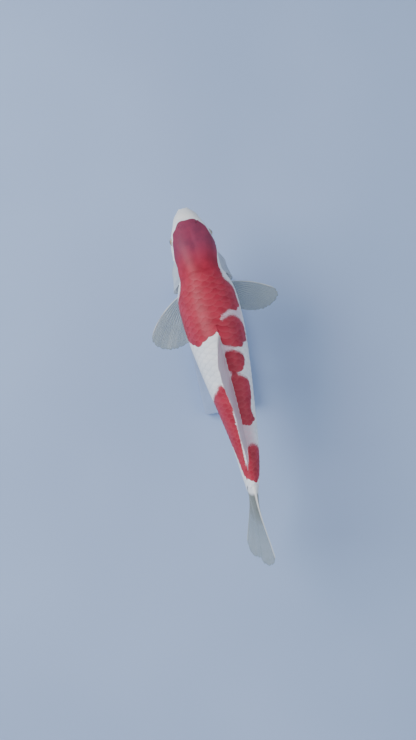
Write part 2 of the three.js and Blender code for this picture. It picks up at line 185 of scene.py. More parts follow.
def read_points(mesh: bpy.types.Mesh) -> Array:
    """The mesh's points as an array of rows of three."""
    flat = np.empty(len(mesh.vertices) * 3, dtype=np.float64)
    mesh.vertices.foreach_get("co", flat)
    return flat.reshape(-1, 3)


def write_points(mesh: bpy.types.Mesh, points: Array) -> None:
    """Moves the mesh's points to an array of rows of three."""
    mesh.vertices.foreach_set("co", np.ascontiguousarray(points, dtype=np.float32).ravel())
    mesh.update()


def write_values(mesh: bpy.types.Mesh, **named: Array) -> None:
    """Stores numbers, one for each point, under the names that materials read."""
    for name, values in named.items():
        layer = mesh.attributes.new(name, "FLOAT", "POINT")
        layer.data.foreach_set("value", np.ascontiguousarray(values, dtype=np.float32))


def take_mesh(shape: bmesh.types.BMesh, name: str) -> bpy.types.Mesh:
    """Ends a bmesh as a new mesh."""
    mesh = bpy.data.meshes.new(name)
    shape.to_mesh(mesh)
    shape.free()
    return mesh


def sheet(name: str, columns: int, rows: int) -> tuple[bpy.types.Mesh, Array, Array]:
    """A flat grid to be moved into shape.

    Args:
        name: name of the mesh.
        columns: number of cells across.
        rows: number of cells along.

    Returns:
        The mesh and each point's place across and along, from 0 to 1.
    """
    shape = bmesh.new()
    bmesh.ops.create_grid(shape, x_segments=columns, y_segments=rows, size=0.5)
    mesh = take_mesh(shape, name)
    points = read_points(mesh) + 0.5
    across = np.rint(points[:, 0] * columns) / columns
    along = np.rint(points[:, 1] * rows) / rows
    return mesh, across, along


def shade(mesh: bpy.types.Mesh, sharp_degrees: float) -> None:
    """Shades a mesh smooth, but for its edges over an angle."""
    mesh.shade_smooth()
    mesh.set_sharp_from_angle(angle=math.radians(sharp_degrees))


def bevel(shape: bmesh.types.BMesh, edges: list[bmesh.types.BMEdge], width: float, segments: int) -> None:
    """Rounds edges over a width in millimetres."""
    bmesh.ops.bevel(
        shape, geom=edges, offset=width * MM, segments=segments, affect="EDGES", profile=0.5, material=-1
    )


def level_edges(shape: bmesh.types.BMesh) -> list[bmesh.types.BMEdge]:
    """The edges whose ends are at one height."""
    return [edge for edge in shape.edges if abs(edge.verts[0].co.z - edge.verts[1].co.z) < 1e-6]


@contextmanager
def opened(mesh: bpy.types.Mesh) -> Iterator[bmesh.types.BMesh]:
    """Opens a mesh as a bmesh; makes its faces agree in direction and writes it back at the end."""
    shape = bmesh.new()
    shape.from_mesh(mesh)
    yield shape
    bmesh.ops.recalc_face_normals(shape, faces=shape.faces)
    shape.to_mesh(mesh)
    shape.free()


def close(mesh: bpy.types.Mesh, weld: bool = True) -> None:
    """Makes a mesh's faces agree and shades it smooth, after welding its seams and poles if asked."""
    with opened(mesh) as shape:
        if weld:
            bmesh.ops.remove_doubles(shape, verts=shape.verts, dist=WELD)
            bmesh.ops.dissolve_degenerate(shape, edges=shape.edges, dist=WELD / 10.0)
    mesh.shade_smooth()


def add_piece(mesh: bpy.types.Mesh, finish: "Finish") -> bpy.types.Object:
    """Makes a mesh a piece of the fish or its stand, riding on the one body.

    Args:
        mesh: the finished mesh, in the row frame.
        finish: the finish it wears.

    Returns:
        The new object.
    """
    piece = bpy.data.objects.new(mesh.name, mesh)
    bpy.context.scene.collection.objects.link(piece)
    piece.data.materials.append(finish.material())
    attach(piece, ROOT)
    LOG.info("%s: %d faces", mesh.name, len(mesh.polygons))
    return piece


# ---------------------------------------------------------------- shader helper


class Painter:
    """Lays out the nodes of one material around a Principled shader."""

    def __init__(self, name: str) -> None:
        """Starts a material with a Principled shader wired to its output."""
        self.material = bpy.data.materials.new(name)
        self.material.use_nodes = True
        self.tree = self.material.node_tree
        self.tree.nodes.clear()
        self.shader = self.tree.nodes.new("ShaderNodeBsdfPrincipled")
        output = self.tree.nodes.new("ShaderNodeOutputMaterial")
        self.tree.links.new(self.shader.outputs["BSDF"], output.inputs["Surface"])

    def feed(self, socket: bpy.types.NodeSocket, value: object) -> None:
        """Links a socket to a node's output or a number the mesh stores, or sets its own value."""
        if isinstance(value, str):
            value = self.attribute(value)
        if isinstance(value, bpy.types.NodeSocket):
            self.tree.links.new(value, socket)
        else:
            socket.default_value = value

    def set(self, **inputs: object) -> None:
        """Feeds the Principled shader's inputs; an underscore stands for a space."""
        for name, value in inputs.items():
            self.feed(self.shader.inputs[name.replace("_", " ")], value)

    def attribute(self, name: str) -> bpy.types.NodeSocket:
        """One of the mesh's own stored numbers."""
        node = self.tree.nodes.new("ShaderNodeAttribute")
        node.attribute_name = name
        return node.outputs["Fac"]

    def noise(self, size: float, detail: float, stretch: Vector | None = None) -> bpy.types.NodeSocket:
        """Soft noise from 0 to 1 on the object's own coordinates.

        Args:
            size: size of its blotches, in millimetres.
            detail: octaves of finer noise.
            stretch: scale of the blotches along each axis, or None for even ones.

        Returns:
            The noise's value.
        """
        node = self.tree.nodes.new("ShaderNodeTexNoise")
        node.inputs["Scale"].default_value = 1.0 / (size * MM)
        node.inputs["Detail"].default_value = detail
        vector = self.tree.nodes.new("ShaderNodeTexCoord").outputs["Object"]
        if stretch is not None:
            mapping = self.tree.nodes.new("ShaderNodeMapping")
            mapping.inputs["Scale"].default_value = stretch
            self.feed(mapping.inputs["Vector"], vector)
            vector = mapping.outputs["Vector"]
        self.feed(node.inputs["Vector"], vector)
        return node.outputs["Fac"]

    def math(self, operation: str, first: object, second: object = 0.0) -> bpy.types.NodeSocket:
        """One sum, product or other operation on two numbers."""
        node = self.tree.nodes.new("ShaderNodeMath")
        node.operation = operation
        self.feed(node.inputs[0], first)
        self.feed(node.inputs[1], second)
        return node.outputs[0]

    def most(self, *values: object) -> object:
        """The greatest of several numbers."""
        greatest = values[0]
        for value in values[1:]:
            greatest = self.math("MAXIMUM", greatest, value)
        return greatest

    def span(self, value: object, start: float, end: float, low: float = 0.0, high: float = 1.0) -> object:
        """Maps a number from start..end to low..high, held at both ends."""
        node = self.tree.nodes.new("ShaderNodeMapRange")
        node.interpolation_type = "SMOOTHSTEP"
        self.feed(node.inputs["Value"], value)
        node.inputs["From Min"].default_value = start
        node.inputs["From Max"].default_value = end
        node.inputs["To Min"].default_value = low
        node.inputs["To Max"].default_value = high
        return node.outputs["Result"]

    def mix(self, share: object, first: object, second: object) -> bpy.types.NodeSocket:
        """Two colours mixed by a share."""
        node = self.tree.nodes.new("ShaderNodeMix")
        node.data_type = "RGBA"
        self.feed(node.inputs[0], share)
        self.feed(node.inputs[6], first)
        self.feed(node.inputs[7], second)
        return node.outputs[2]

    def grade(self, value: object, start: float, end: float, first: object, second: object) -> object:
        """A colour that goes from the first to the second as a number goes from start to end."""
        return self.mix(self.span(value, start, end), first, second)

    def tint(self, colour: object, over: object, amount: object, strength: float) -> bpy.types.NodeSocket:
        """A colour with another laid over it, by an amount times a strength."""
        return self.mix(self.math("MULTIPLY", amount, strength), colour, over)

    def bump(self, height: object, depth: float, strength: float) -> bpy.types.NodeSocket:
        """A fine relief in the surface, its depth in millimetres."""
        node = self.tree.nodes.new("ShaderNodeBump")
        node.inputs["Strength"].default_value = strength
        node.inputs["Distance"].default_value = depth * MM
        self.feed(node.inputs["Height"], height)
        return node.outputs["Normal"]


@dataclass(frozen=True)
class Finish:
    """A named finish; material() makes it once and returns the same one after."""

    name: str

    def material(self) -> bpy.types.Material:
        """The finish's material."""
        made = bpy.data.materials.get(self.name)
        if made is None:
            painter = Painter(self.name)
            self.paint(painter)
            made = painter.material
        return made

    def paint(self, painter: Painter) -> None:
        """Lays out the finish's nodes."""
        raise NotImplementedError


# ---------------------------------------------------------------- form of the body


@dataclass(frozen=True)
class Station:
    """Half width, height of the back and depth of the belly at one station."""

    at: float
    side: float
    back: float
    belly: float


@dataclass
class BodyForm:
    """The smooth body that skin, scales and fins are laid on.

    A place on it is a station, from the snout, with either an angle round the body from the
    back, positive on the left, or a share of the half girth from the back to the belly.
    """

    stations: tuple[Station, ...] = (
        Station(0, 8.2, 4.0, 12.4),
        Station(12, 12.4, 10.8, 16.2),
        Station(29, 18.7, 18.0, 22.3),
        Station(46, 20.2, 23.8, 27.2),
        Station(62, 20.6, 28.2, 30.6),
        Station(80, 25.4, 32.6, 33.6),
        Station(100, 26.2, 35.8, 35.4),
        Station(120, 25.0, 37.0, 36.0),
        Station(152, 21.1, 33.6, 33.4),
        Station(184, 16.2, 26.2, 26.4),
        Station(212, 12.1, 19.8, 19.4),
        Station(238, 8.4, 15.8, 15.6),
        Station(258, 4.6, 15.4, 15.6),
    )
    nose_length: float = 10.0
    nose_drop: float = 5.0
    drop_end: float = 40.0
    body_length: float = 258.0
    stalk_end: float = 264.0
    widest_rise: float = 1.5
    nose_squareness: float = 2.15
    nose_end: float = 26.0
    skull_squareness: float = 2.7
    trunk_squareness: float = 2.15
    skull_end: float = 66.0
    shares: int = 256
    angle_steps: int = 1440
    fin_foot: tuple[float, float, float, float] = (112.0, 120.0, 212.0, 220.0)
    fin_foot_height: float = 0.6
    _angles: Array = field(init=False, repr=False)
    _girths: Array = field(init=False, repr=False)

    def __post_init__(self) -> None:
        """Measures the girth once at every whole station."""
        stations = np.arange(0.0, self.stalk_end + 0.5, 1.0)
        stations[0] = 0.05
        stations[-1] = self.stalk_end - 0.01
        angles = np.linspace(0.0, math.pi, self.angle_steps + 1)
        at, round_about = np.meshgrid(stations, angles, indexing="ij")
        points = self.point(at.ravel(), round_about.ravel()).reshape(at.shape + (3,))
        steps = np.linalg.norm(np.diff(points, axis=1), axis=2)
        lengths = np.concatenate([np.zeros((len(stations), 1)), np.cumsum(steps, axis=1)], axis=1)
        self._girths = lengths[:, -1]
        shares = np.linspace(0.0, 1.0, self.shares + 1)
        self._angles = np.stack([np.interp(shares * row[-1], row, angles) for row in lengths])

    def measure(self, name: str, at: Array) -> Array:
        """One measure of the body at stations, by a smooth cubic through the stations."""
        places = np.array([station.at for station in self.stations])
        values = np.array([getattr(station, name) for station in self.stations])
        last = len(places) - 1
        before = np.maximum(np.arange(last + 1) - 1, 0)
        after = np.minimum(np.arange(last + 1) + 1, last)
        slopes = (values[after] - values[before]) / (places[after] - places[before])
        y = np.clip(at, places[0], places[-1])
        i = np.clip(np.searchsorted(places, y) - 1, 0, last - 1)
        span = places[i + 1] - places[i]
        t = (y - places[i]) / span
        start = values[i] * (2 * t**3 - 3 * t**2 + 1) + slopes[i] * span * (t**3 - 2 * t**2 + t)
        end = values[i + 1] * (3 * t**2 - 2 * t**3) + slopes[i + 1] * span * (t**3 - t**2)
        return start + end

    def opening(self, at: Array) -> Array:
        """How far the body has opened from its rounded ends."""
        nose = 1.0 - np.clip(at / self.nose_length, 0.0, 1.0)
        stalk = np.clip((at - self.body_length) / (self.stalk_end - self.body_length), 0.0, 1.0)
        return np.sqrt(1.0 - nose**2) * np.sqrt(1.0 - stalk**2)

    def point(self, at: Array, angle: Array, grow: Array | float = 0.0) -> Array:
        """Points on the straight body.

        Args:
            at: stations.
            angle: angles round the body in radians, 0 on the back, positive on the left.
            grow: how far outside the body, in millimetres.

        Returns:
            Rows of x, y and z in millimetres.
        """
        at, angle = np.broadcast_arrays(np.asarray(at, float), np.asarray(angle, float))
        width_open = self.opening(at)
        height_open = np.where(at > self.body_length, width_open**0.25, width_open)
        middle = lerp(-self.nose_drop, self.widest_rise, smooth(at, 0.0, self.drop_end))
        grow = grow * np.minimum(width_open * 2.0, 1.0)
        side = self.measure("side", at) * width_open + grow
        back = (self.measure("back", at) - middle) * height_open + grow
        belly = (self.measure("belly", at) + middle) * height_open + grow
        skull = lerp(self.nose_squareness, self.skull_squareness, smooth(at, 2.0, self.nose_end))
        square = lerp(skull, self.trunk_squareness, smooth(at, 0.0, self.skull_end))
        sine = np.sin(angle)
        cosine = np.cos(angle)
        power = 2.0 / np.where(cosine > 0, square, self.trunk_squareness)
        x = side * np.sign(sine) * np.abs(sine) ** power
        z = np.where(cosine > 0, back, belly) * np.sign(cosine) * np.abs(cosine) ** power
        return np.stack([x, at, middle + z], axis=-1)

    def normal(self, at: Array, angle: Array) -> Array:
        """Outward directions at places on the body."""
        inner = np.clip(at, 0.08, self.stalk_end - 0.2)
        along = self.point(inner + 0.05, angle) - self.point(inner - 0.05, angle)
        across = self.point(inner, angle + 0.01) - self.point(inner, angle - 0.01)
        out = np.cross(along, across)
        out /= np.maximum(np.linalg.norm(out, axis=-1, keepdims=True), 1e-9)
        flip = np.sum(out * (self.point(inner, angle, 1.0) - self.point(inner, angle)), axis=-1) < 0
        out[flip] *= -1.0
        out[at < 0.05] = (0.0, -1.0, 0.0)
        return out

    def fin_sheath(self, at: Array, angle: Array) -> Array:
        """Height of the flesh along the foot of the fin on the back."""
        foot = self.fin_foot_height * bell(np.degrees(np.abs(angle)), 5.0)
        return foot * window(at, *self.fin_foot)

    def half_girth(self, at: Array) -> Array:
        """Length over the skin from the back's ridge to the belly's, in millimetres."""
        return np.interp(at, np.arange(len(self._girths)), self._girths)

    def angle_at(self, at: Array, share: Array) -> Array:
        """Angle in radians at a signed share of the half girth from the back."""
        row = np.clip(at, 0.0, len(self._girths) - 1.001)
        column = np.clip(np.abs(share), 0.0, 1.0) * self.shares
        i = row.astype(int)
        j = np.minimum(column.astype(int), self.shares - 1)
        s = row - i
        t = column - j
        top = lerp(self._angles[i, j], self._angles[i, j + 1], t)
        bottom = lerp(self._angles[i + 1, j], self._angles[i + 1, j + 1], t)
        return lerp(top, bottom, s) * np.where(share < 0, -1.0, 1.0)

    def share_at(self, at: float, angle_degrees: float) -> float:
        """Share of the half girth at an angle round one station."""
        row = self._angles[int(np.clip(at, 0, len(self._girths) - 1))]
        return float(np.interp(math.radians(angle_degrees), row, np.linspace(0, 1, self.shares + 1)))


@dataclass
class Spine:
    """The curve of the swimming body, over the middle of the stand."""

    front_heading: float = 2.4
    tail_heading: float = -5.4
    bend_start: float = 188.0
    bend_end: float = 256.0
    centre: int = 122
    axis_height: float = 98.0
    reach: int = 330
    _line: Array = field(init=False, repr=False)

    def __post_init__(self) -> None:
        """Walks the spine in steps of a millimetre."""
        middles = np.arange(self.reach) + 0.5
        bend = smooth(middles, self.bend_start, self.bend_end)
        heading = np.radians(lerp(self.front_heading, self.tail_heading, bend))
        steps = np.stack([-np.sin(heading), np.cos(heading)], axis=1)
        self._line = np.vstack([[0.0, 0.0], np.cumsum(steps, axis=0)])

    def lay(self, points: Array) -> Array:
        """Lays points of the straight fish along the spine, in the row frame.

        Args:
            points: rows of x, y and z in millimetres.

        Returns:
            Rows of x, y and z in metres.
        """
        i = np.clip(np.floor(points[:, 1]).astype(int), 0, len(self._line) - 2)
        base = self._line[i]
        along = self._line[i + 1] - base
        beyond = points[:, 1] - i
        plan_x = base[:, 0] + along[:, 0] * beyond + along[:, 1] * points[:, 0]
        plan_y = base[:, 1] + along[:, 1] * beyond - along[:, 0] * points[:, 0]
        centre = self._line[self.centre]
        laid = [plan_x - centre[0], plan_y - centre[1], points[:, 2] + self.axis_height]
        return np.stack(laid, axis=1) * MM


# ---------------------------------------------------------------- markings


@dataclass(frozen=True)
class Marking:
    """One red patch: its outline in stations and degrees round the body, left positive."""

    outline: tuple[tuple[float, float], ...]
    rounding: int = 6

    def curve(self, form: BodyForm) -> Array:
        """The outline as a smooth closed line in stations and millimetres round the body."""
        line = rounded(np.array(self.outline, float), self.rounding, closed=True)
        share = [form.share_at(at, abs(angle)) * np.sign(angle) for at, angle in line]
        girth = form.half_girth(line[:, 0])
        return np.stack([line[:, 0], np.array(share) * girth], axis=1)


HOOD = Marking(
    (
        (14, 6), (14, -18), (17, -38), (22, -52), (28, -59), (34, -66), (39, -76), (46, -67),
        (52, -57), (60, -51), (67, -52), (72, -46), (77, -58), (82, -67), (90, -66), (97, -66),
        (101.5, -52), (100, -38), (101, -28), (104, -15), (107.5, -10), (106, -18), (105, -34),
        (108, -49), (114, -66), (122, -72), (129, -70), (131, -52), (133.5, -44), (132, -30),
        (131, -16), (127.5, -6), (119.5, -1.5), (121, 4), (118.5, 7), (120.5, 17),
        (122, 27), (124.5, 39), (122, 54), (119.5, 72), (117, 88), (112, 106), (100, 116),
        (88, 108), (81, 88), (78, 73), (72, 64), (66, 65), (58, 70), (52, 66), (44, 70),
        (37, 63), (30, 61), (25, 64), (20, 48), (15, 36), (13.6, 22),
    )
)
SADDLE = Marking(
    (
        (133.5, -8), (133.5, -18), (135, -26), (137, -36), (142, -46), (148, -44), (151.5, -33),
        (153, -19), (154.5, -19), (157, -31), (162, -50), (171, -54), (178, -51), (186, -43),
        (191, -48), (195, -52), (198, -44), (200, -33), (197.5, -16), (197, -2), (192, 7),
        (184, 11), (172, 10), (160, 6), (155, -3), (151, -4), (148, 4), (141, 3), (135, -2),
    )
)
TAIL_SADDLE = Marking(
    (
        (160, 29), (161, 22), (166, 15.5), (178, 15), (192, 16.5), (208, 18), (222, 21),
        (232, 20), (230, 7), (223, 1), (218, -1), (215.5, -14), (215.5, -30), (217.5, -48),
        (221, -68), (228, -78), (240, -74), (246, -62), (249.5, -40), (249.5, -20), (247, 0),
        (247, 24), (246.5, 40), (240, 53), (233, 62), (225, 69), (217, 80), (210, 98),
        (198, 110), (184, 106), (174, 90), (171, 73), (167, 57), (165, 45), (162, 36),
    )
)


@dataclass
class Pattern:
    """The red patches on the white ground."""

    form: BodyForm
    markings: tuple[Marking, ...] = (HOOD, SADDLE, TAIL_SADDLE)
    pink_across: tuple[float, float, float, float] = (-15.0, -2.5, 0.8, 3.0)
    pink_along: tuple[float, float, float, float] = (110.0, 122.0, 226.0, 240.0)
    crescent_at: float = 104.0
    crescent_across: tuple[float, float, float, float] = (3.0, 8.0, 28.0, 40.0)
    _curves: list[Array] = field(init=False, repr=False)

    def __post_init__(self) -> None:
        """Rounds every outline once."""
        self._curves = [marking.curve(self.form) for marking in self.markings]

    def depth(self, at: Array, share: Array) -> Array:
        """How far inside the red a place lies, in millimetres; negative on the white.

        Args:
            at: stations.
            share: signed shares of the half girth.

        Returns:
            Signed distances to the nearest patch's edge.
        """
        y = share * self.form.half_girth(at)
        return np.max([signed_depth(at, y, curve) for curve in self._curves], axis=0)

    def blush(self, at: Array, share: Array) -> Array:
        """How pink the white is, along the fin on the back and in the crescent before it."""
        y = share * self.form.half_girth(at)
        foot = window(y, *self.pink_across) * window(at, *self.pink_along)
        crescent = bell(at - self.crescent_at, 9.0) * window(-y, *self.crescent_across)
        return np.maximum(foot, 0.85 * crescent)


def signed_depth(x: Array, y: Array, curve: Array) -> Array:
    """Distance of points to a closed line, positive inside it.

    Args:
        x: first coordinates of the points.
        y: second coordinates of the points.
        curve: rows of the line's points.

    Returns:
        One signed distance for each point.
    """
    nearest = np.full(len(x), 1e9)
    inside = np.zeros(len(x), dtype=bool)
    ends = np.roll(curve, -1, axis=0)
    for (ax, ay), (bx, by) in zip(curve, ends):
        dx, dy = bx - ax, by - ay
        length = max(dx * dx + dy * dy, 1e-12)
        t = np.clip(((x - ax) * dx + (y - ay) * dy) / length, 0.0, 1.0)
        gap = (x - ax - t * dx) ** 2 + (y - ay - t * dy) ** 2
        nearest = np.minimum(nearest, gap)
        if ay != by:
            crosses = (ay > y) != (by > y)
            inside ^= crosses & (x < ax + (y - ay) * dx / dy)
    return np.sqrt(nearest) * np.where(inside, 1.0, -1.0)


# ---------------------------------------------------------------- skin


@dataclass
class GillCover:
    """The bony flap over each gill: where its free edge runs and how far it stands out."""

    top_angle: float = 65.0
    bottom_angle: float = 158.0
    rear_top: float = 62.5
    rear_most: float = 71.5
    rear_bottom: float = 45.0
    nape: float = 61.5
    front: tuple[float, float, float] = (48.0, 41.0, 34.0)
    flare: float = 4.6

    def down(self, degrees: Array) -> Array:
        """Share of the way down the cover at angles round the body."""
        return np.clip((degrees - self.top_angle) / (self.bottom_angle - self.top_angle), 0.0, 1.0)

    def margin(self, degrees: Array) -> Array:
        """Station of the free edge, carried on over the nape and under the throat."""
        v = self.down(degrees)
        rounded_out = np.sin(np.pi * v**0.85) ** 0.7
        edge = lerp(lerp(self.rear_top, self.rear_bottom, v), self.rear_most, rounded_out)
        over_nape = (self.nape - self.rear_top) * fade(degrees, 20.0, self.top_angle)
        return edge + over_nape

    def standing(self, degrees: Array) -> Array:
        """How far the free edge stands off the body, from 0 to 1."""
        top = smooth(degrees, 68.0, 96.0)
        lower = 1.0 - 0.55 * smooth(degrees, 122.0, 156.0)
        return top * lower * fade(degrees, 157.0, 171.0)

    def begin(self, degrees: Array) -> Array:
        """Station of the cover's front edge, where it joins the cheek."""
        return through_three(self.front, self.down(degrees))

    def lift(self, at: Array, degrees: Array) -> Array:
        """Height of the cover over the body in front of its free edge."""
        begin = self.begin(degrees)
        u = (at - begin) / (self.margin(degrees) - begin)
        return self.flare * self.standing(degrees) * smooth(u, 0.0, 0.44)


@dataclass
class HeadRelief:
    """The folds, pits and ridges of the head, as heights over the smooth body."""

    form: BodyForm
    cover: GillCover
    eye_centre: tuple[float, float, float] = (13.7, 28.8, 4.5)
    eye_axis: tuple[float, float, float] = (0.965, -0.10, 0.17)
    eye_radius: float = 5.4
    eye_shown: float = 4.3
    mouth_level: float = -8.2
    mouth_slope: float = 13.0
    nostril: tuple[float, float] = (8.0, 17.0)
    pore_places: tuple[tuple[float, float, float], ...] = (
        (9.5, 22.5, 0.4), (10.6, 26.5, 0.4), (11.2, 31.0, 0.4), (11.4, 36.0, 0.42), (11.6, 41.5, 0.42),
    )

    def axis(self) -> Array:
        """The unit direction the left eye looks in."""
        axis = np.array(self.eye_axis)
        return axis / np.linalg.norm(axis)

    def from_eye(self, points: Array) -> tuple[Array, Array]:
        """Distances of points out along the nearer eye's axis, and off that axis."""
        offset = onto_left(points) - np.array(self.eye_centre)
        out = offset @ self.axis()
        return out, np.linalg.norm(offset - out[:, None] * self.axis(), axis=1)

    def socket(self, points: Array) -> Array:
        """Height of the skin round the eyes: a rim, and a hidden floor behind the ball.

        Args:
            points: points of the smooth body.

        Returns:
            Heights to add, near zero away from the eyes.
        """
        out, r = self.from_eye(points)
        shown = self.eye_shown
        seat = math.sqrt(self.eye_radius**2 - shown**2)
        floor = lerp(seat - 1.6, seat + 0.15, smooth(r, shown - 0.9, shown))
        blend = smooth(r, shown, shown + 1.5)
        rim = 0.20 * bell(r - shown - 0.8, 0.45) - 0.20 * bell(r - shown - 2.0, 0.6)
        height = lerp(floor - out, 0.0, blend) + rim
        return np.where((out > 0) & (r < shown + 5.0), height, 0.0)

    def clear_of_eyes(self, points: Array) -> Array:
        """A share that falls to 0 on the white rims round the eyes."""
        out, r = self.from_eye(points)
        return np.where(out > 0, smooth(r, self.eye_shown + 1.3, self.eye_shown + 2.3), 1.0)

    def nostrils(self, points: Array) -> Array:
        """Height of the paired nostrils: a pit before and a pit behind a low flap."""
        x, y = self.nostril
        across = np.abs(points[:, 0]) - x
        along = points[:, 1] - y
        above = points[:, 2] > 0
        front = spot(across, along + 1.1, 0.75, 0.7)
        rear = spot(across, along - 1.3, 1.0, 0.8)
        flap = spot(across + 0.1, along - 0.1, 1.1, 0.42)
        mound = spot(across, along, 2.2, 3.0)
        return above * (0.35 * mound - front - 1.2 * rear + 0.5 * flap)

    def mouth(self, points: Array) -> Array:
        """Height of the lips and of the slit and folds between and behind them."""
        t = self.mouth_gap(points)
        out = np.abs(points[:, 0])
        shown = window(points[:, 1], 0.02, 0.8, 10.5, 14.5)
        slit = -2.1 * bell(t, 0.4)
        full = 1.0 - 0.4 * smooth(out, 3.0, 10.0) - 0.12 * bell(out, 1.4)
        upper = 1.35 * full * bell(t - 1.7 * full, 0.95) - 0.75 * bell(t - 4.0 * full, 0.8)
        lower = 1.05 * full * bell(t + 1.6 * full, 0.9) - 0.5 * bell(t + 3.4 * full, 0.6)
        creases = 0.07 * np.sin(points[:, 0] * 4.2) * (bell(t - 1.4, 0.9) + bell(t + 1.4, 0.9))
        return shown * (slit + upper + lower + creases)

    def mouth_gap(self, points: Array) -> Array:
        """Height of points over the slit of the mouth, which turns down at its corners."""
        slope = math.tan(math.radians(self.mouth_slope))
        arch = 2.4 * smooth(np.abs(points[:, 0]), 1.0, 10.0)
        return points[:, 2] - (self.mouth_level + 0.9 - slope * points[:, 1] - arch)

    def cheek(self, at: Array, degrees: Array) -> Array:
        """Height of the cheek's bones, the gill cover's plates and the folds under the throat.

        Args:
            at: stations.
            degrees: angles round the body without their sign.

        Returns:
            Heights to add.
        """
        begin = self.cover.begin(degrees)
        margin = self.cover.margin(degrees)
        on_cover = window(degrees, 66.0, 76.0, 150.0, 160.0)
        first = -0.5 * bell(at - begin - 0.8, 0.7) + 0.25 * bell(at - begin + 0.9, 0.9)
        second = -0.22 * bell(at - begin + 5.5 - 0.03 * (degrees - 110.0), 0.6)
        seam_angle = 132.0 + 0.5 * (at - 50.0)
        plates = -0.35 * bell(degrees - seam_angle, 1.5) * smooth(at, 44.0, 47.0)
        fan = np.degrees(np.arctan2(at - 42.0, degrees * 0.5 - 38.0))
        striae = 0.06 * np.sin(fan * 1.1) * smooth(at, begin + 4.0, begin + 12.0) * (at < margin)
        bony = on_cover * (first + second + plates + striae)
        folded = window(at, 30.0, 33.0, 42.0, 47.0) * window(degrees, 149.0, 153.0, 172.0, 177.0)
        folds = 0.22 * np.sin((degrees - 150.0) * 1.25) * folded
        gular = -0.6 * bell(degrees - 148.0, 2.2) * window(at, 12.0, 15.0, 30.0, 36.0)
        return bony + folds + gular

    def crown(self, at: Array, degrees: Array, points: Array) -> Array:
        """Height of the skull's low ridges, its sensory pores and the nape's fold."""
        brow = 0.55 * bell(degrees - 54.0, 9.0) * bell(at - 27.0, 9.0)
        middle = -0.25 * bell(points[:, 0], 2.4) * window(at, 18.0, 30.0, 50.0, 58.0)
        snout = -0.35 * bell(at - 11.5, 1.8) * fade(degrees, 60.0, 85.0)
        line = self.cover.margin(degrees)
        nape = -0.15 * bell(at - line + 0.6, 0.8) * fade(degrees, 64.0, 72.0)
        return brow + middle + snout + nape

    def pores(self, points: Array) -> Array:
        """Height of the row of small sensory pores over the eye."""
        height = np.zeros(len(points))
        for x, y, size in self.pore_places:
            gap = (np.abs(points[:, 0]) - x) ** 2 + (points[:, 1] - y) ** 2
            height -= 0.25 * np.exp(-gap / size**2) * (points[:, 2] > 5.0)
        return height

    def height(self, at: Array, angle: Array, points: Array) -> Array:
        """All of the head's relief at once.

        Args:
            at: stations.
            angle: angles in radians.
            points: points of the smooth body there.

        Returns:
            Heights to add along the body's normals, in millimetres.
        """
        degrees = np.degrees(np.abs(angle))
        total = self.socket(points) + self.nostrils(points) + self.mouth(points)
        return total + self.cheek(at, degrees) + self.crown(at, degrees, points) + self.pores(points)


@dataclass(frozen=True)
class Barbel:
    """One feeler of the mouth: root, reach and thickness on the left side."""

    name: str
    root: tuple[float, float, float]
    reach: tuple[float, float, float]
    radius: float

    def mesh(self, side: Side, spine: Spine) -> bpy.types.Mesh:
        """A tapered, gently curling feeler rooted in the skin.

        Args:
            side: the side it grows on.
            spine: the spine it is laid along.

        Returns:
            Its closed mesh.
        """
        mesh, across, along = sheet(self.name, 14, 18)
        t = np.clip(along * 1.08 - 0.04, 0.0, 1.0)
        root = np.array(self.root)
        reach = np.array(self.reach)
        curl = np.sin(np.pi * t)[:, None] * np.array([0.25, 0.9, 0.3])
        middle = root + reach * t[:, None] - curl
        turn = across * 2.0 * np.pi
        axis = reach / np.linalg.norm(reach)
        first = np.cross(axis, (1.0, 0.0, 0.0))
        first /= np.linalg.norm(first)
        second = np.cross(axis, first)
        swell = 1.0 + 0.9 * fade(t, 0.0, 0.22)
        radius = self.radius * swell * (1.0 - 0.62 * t) * np.sqrt(np.clip(1.0 - t**10, 0.0, 1.0))
        radius = np.where((along < 1e-6) | (along > 1.0 - 1e-6), 0.0, radius)
        ring = np.cos(turn)[:, None] * first + np.sin(turn)[:, None] * second
        points = middle + ring * radius[:, None]
        points[:, 0] *= side.value
        write_points(mesh, spine.lay(points))
        close(mesh)
        return mesh


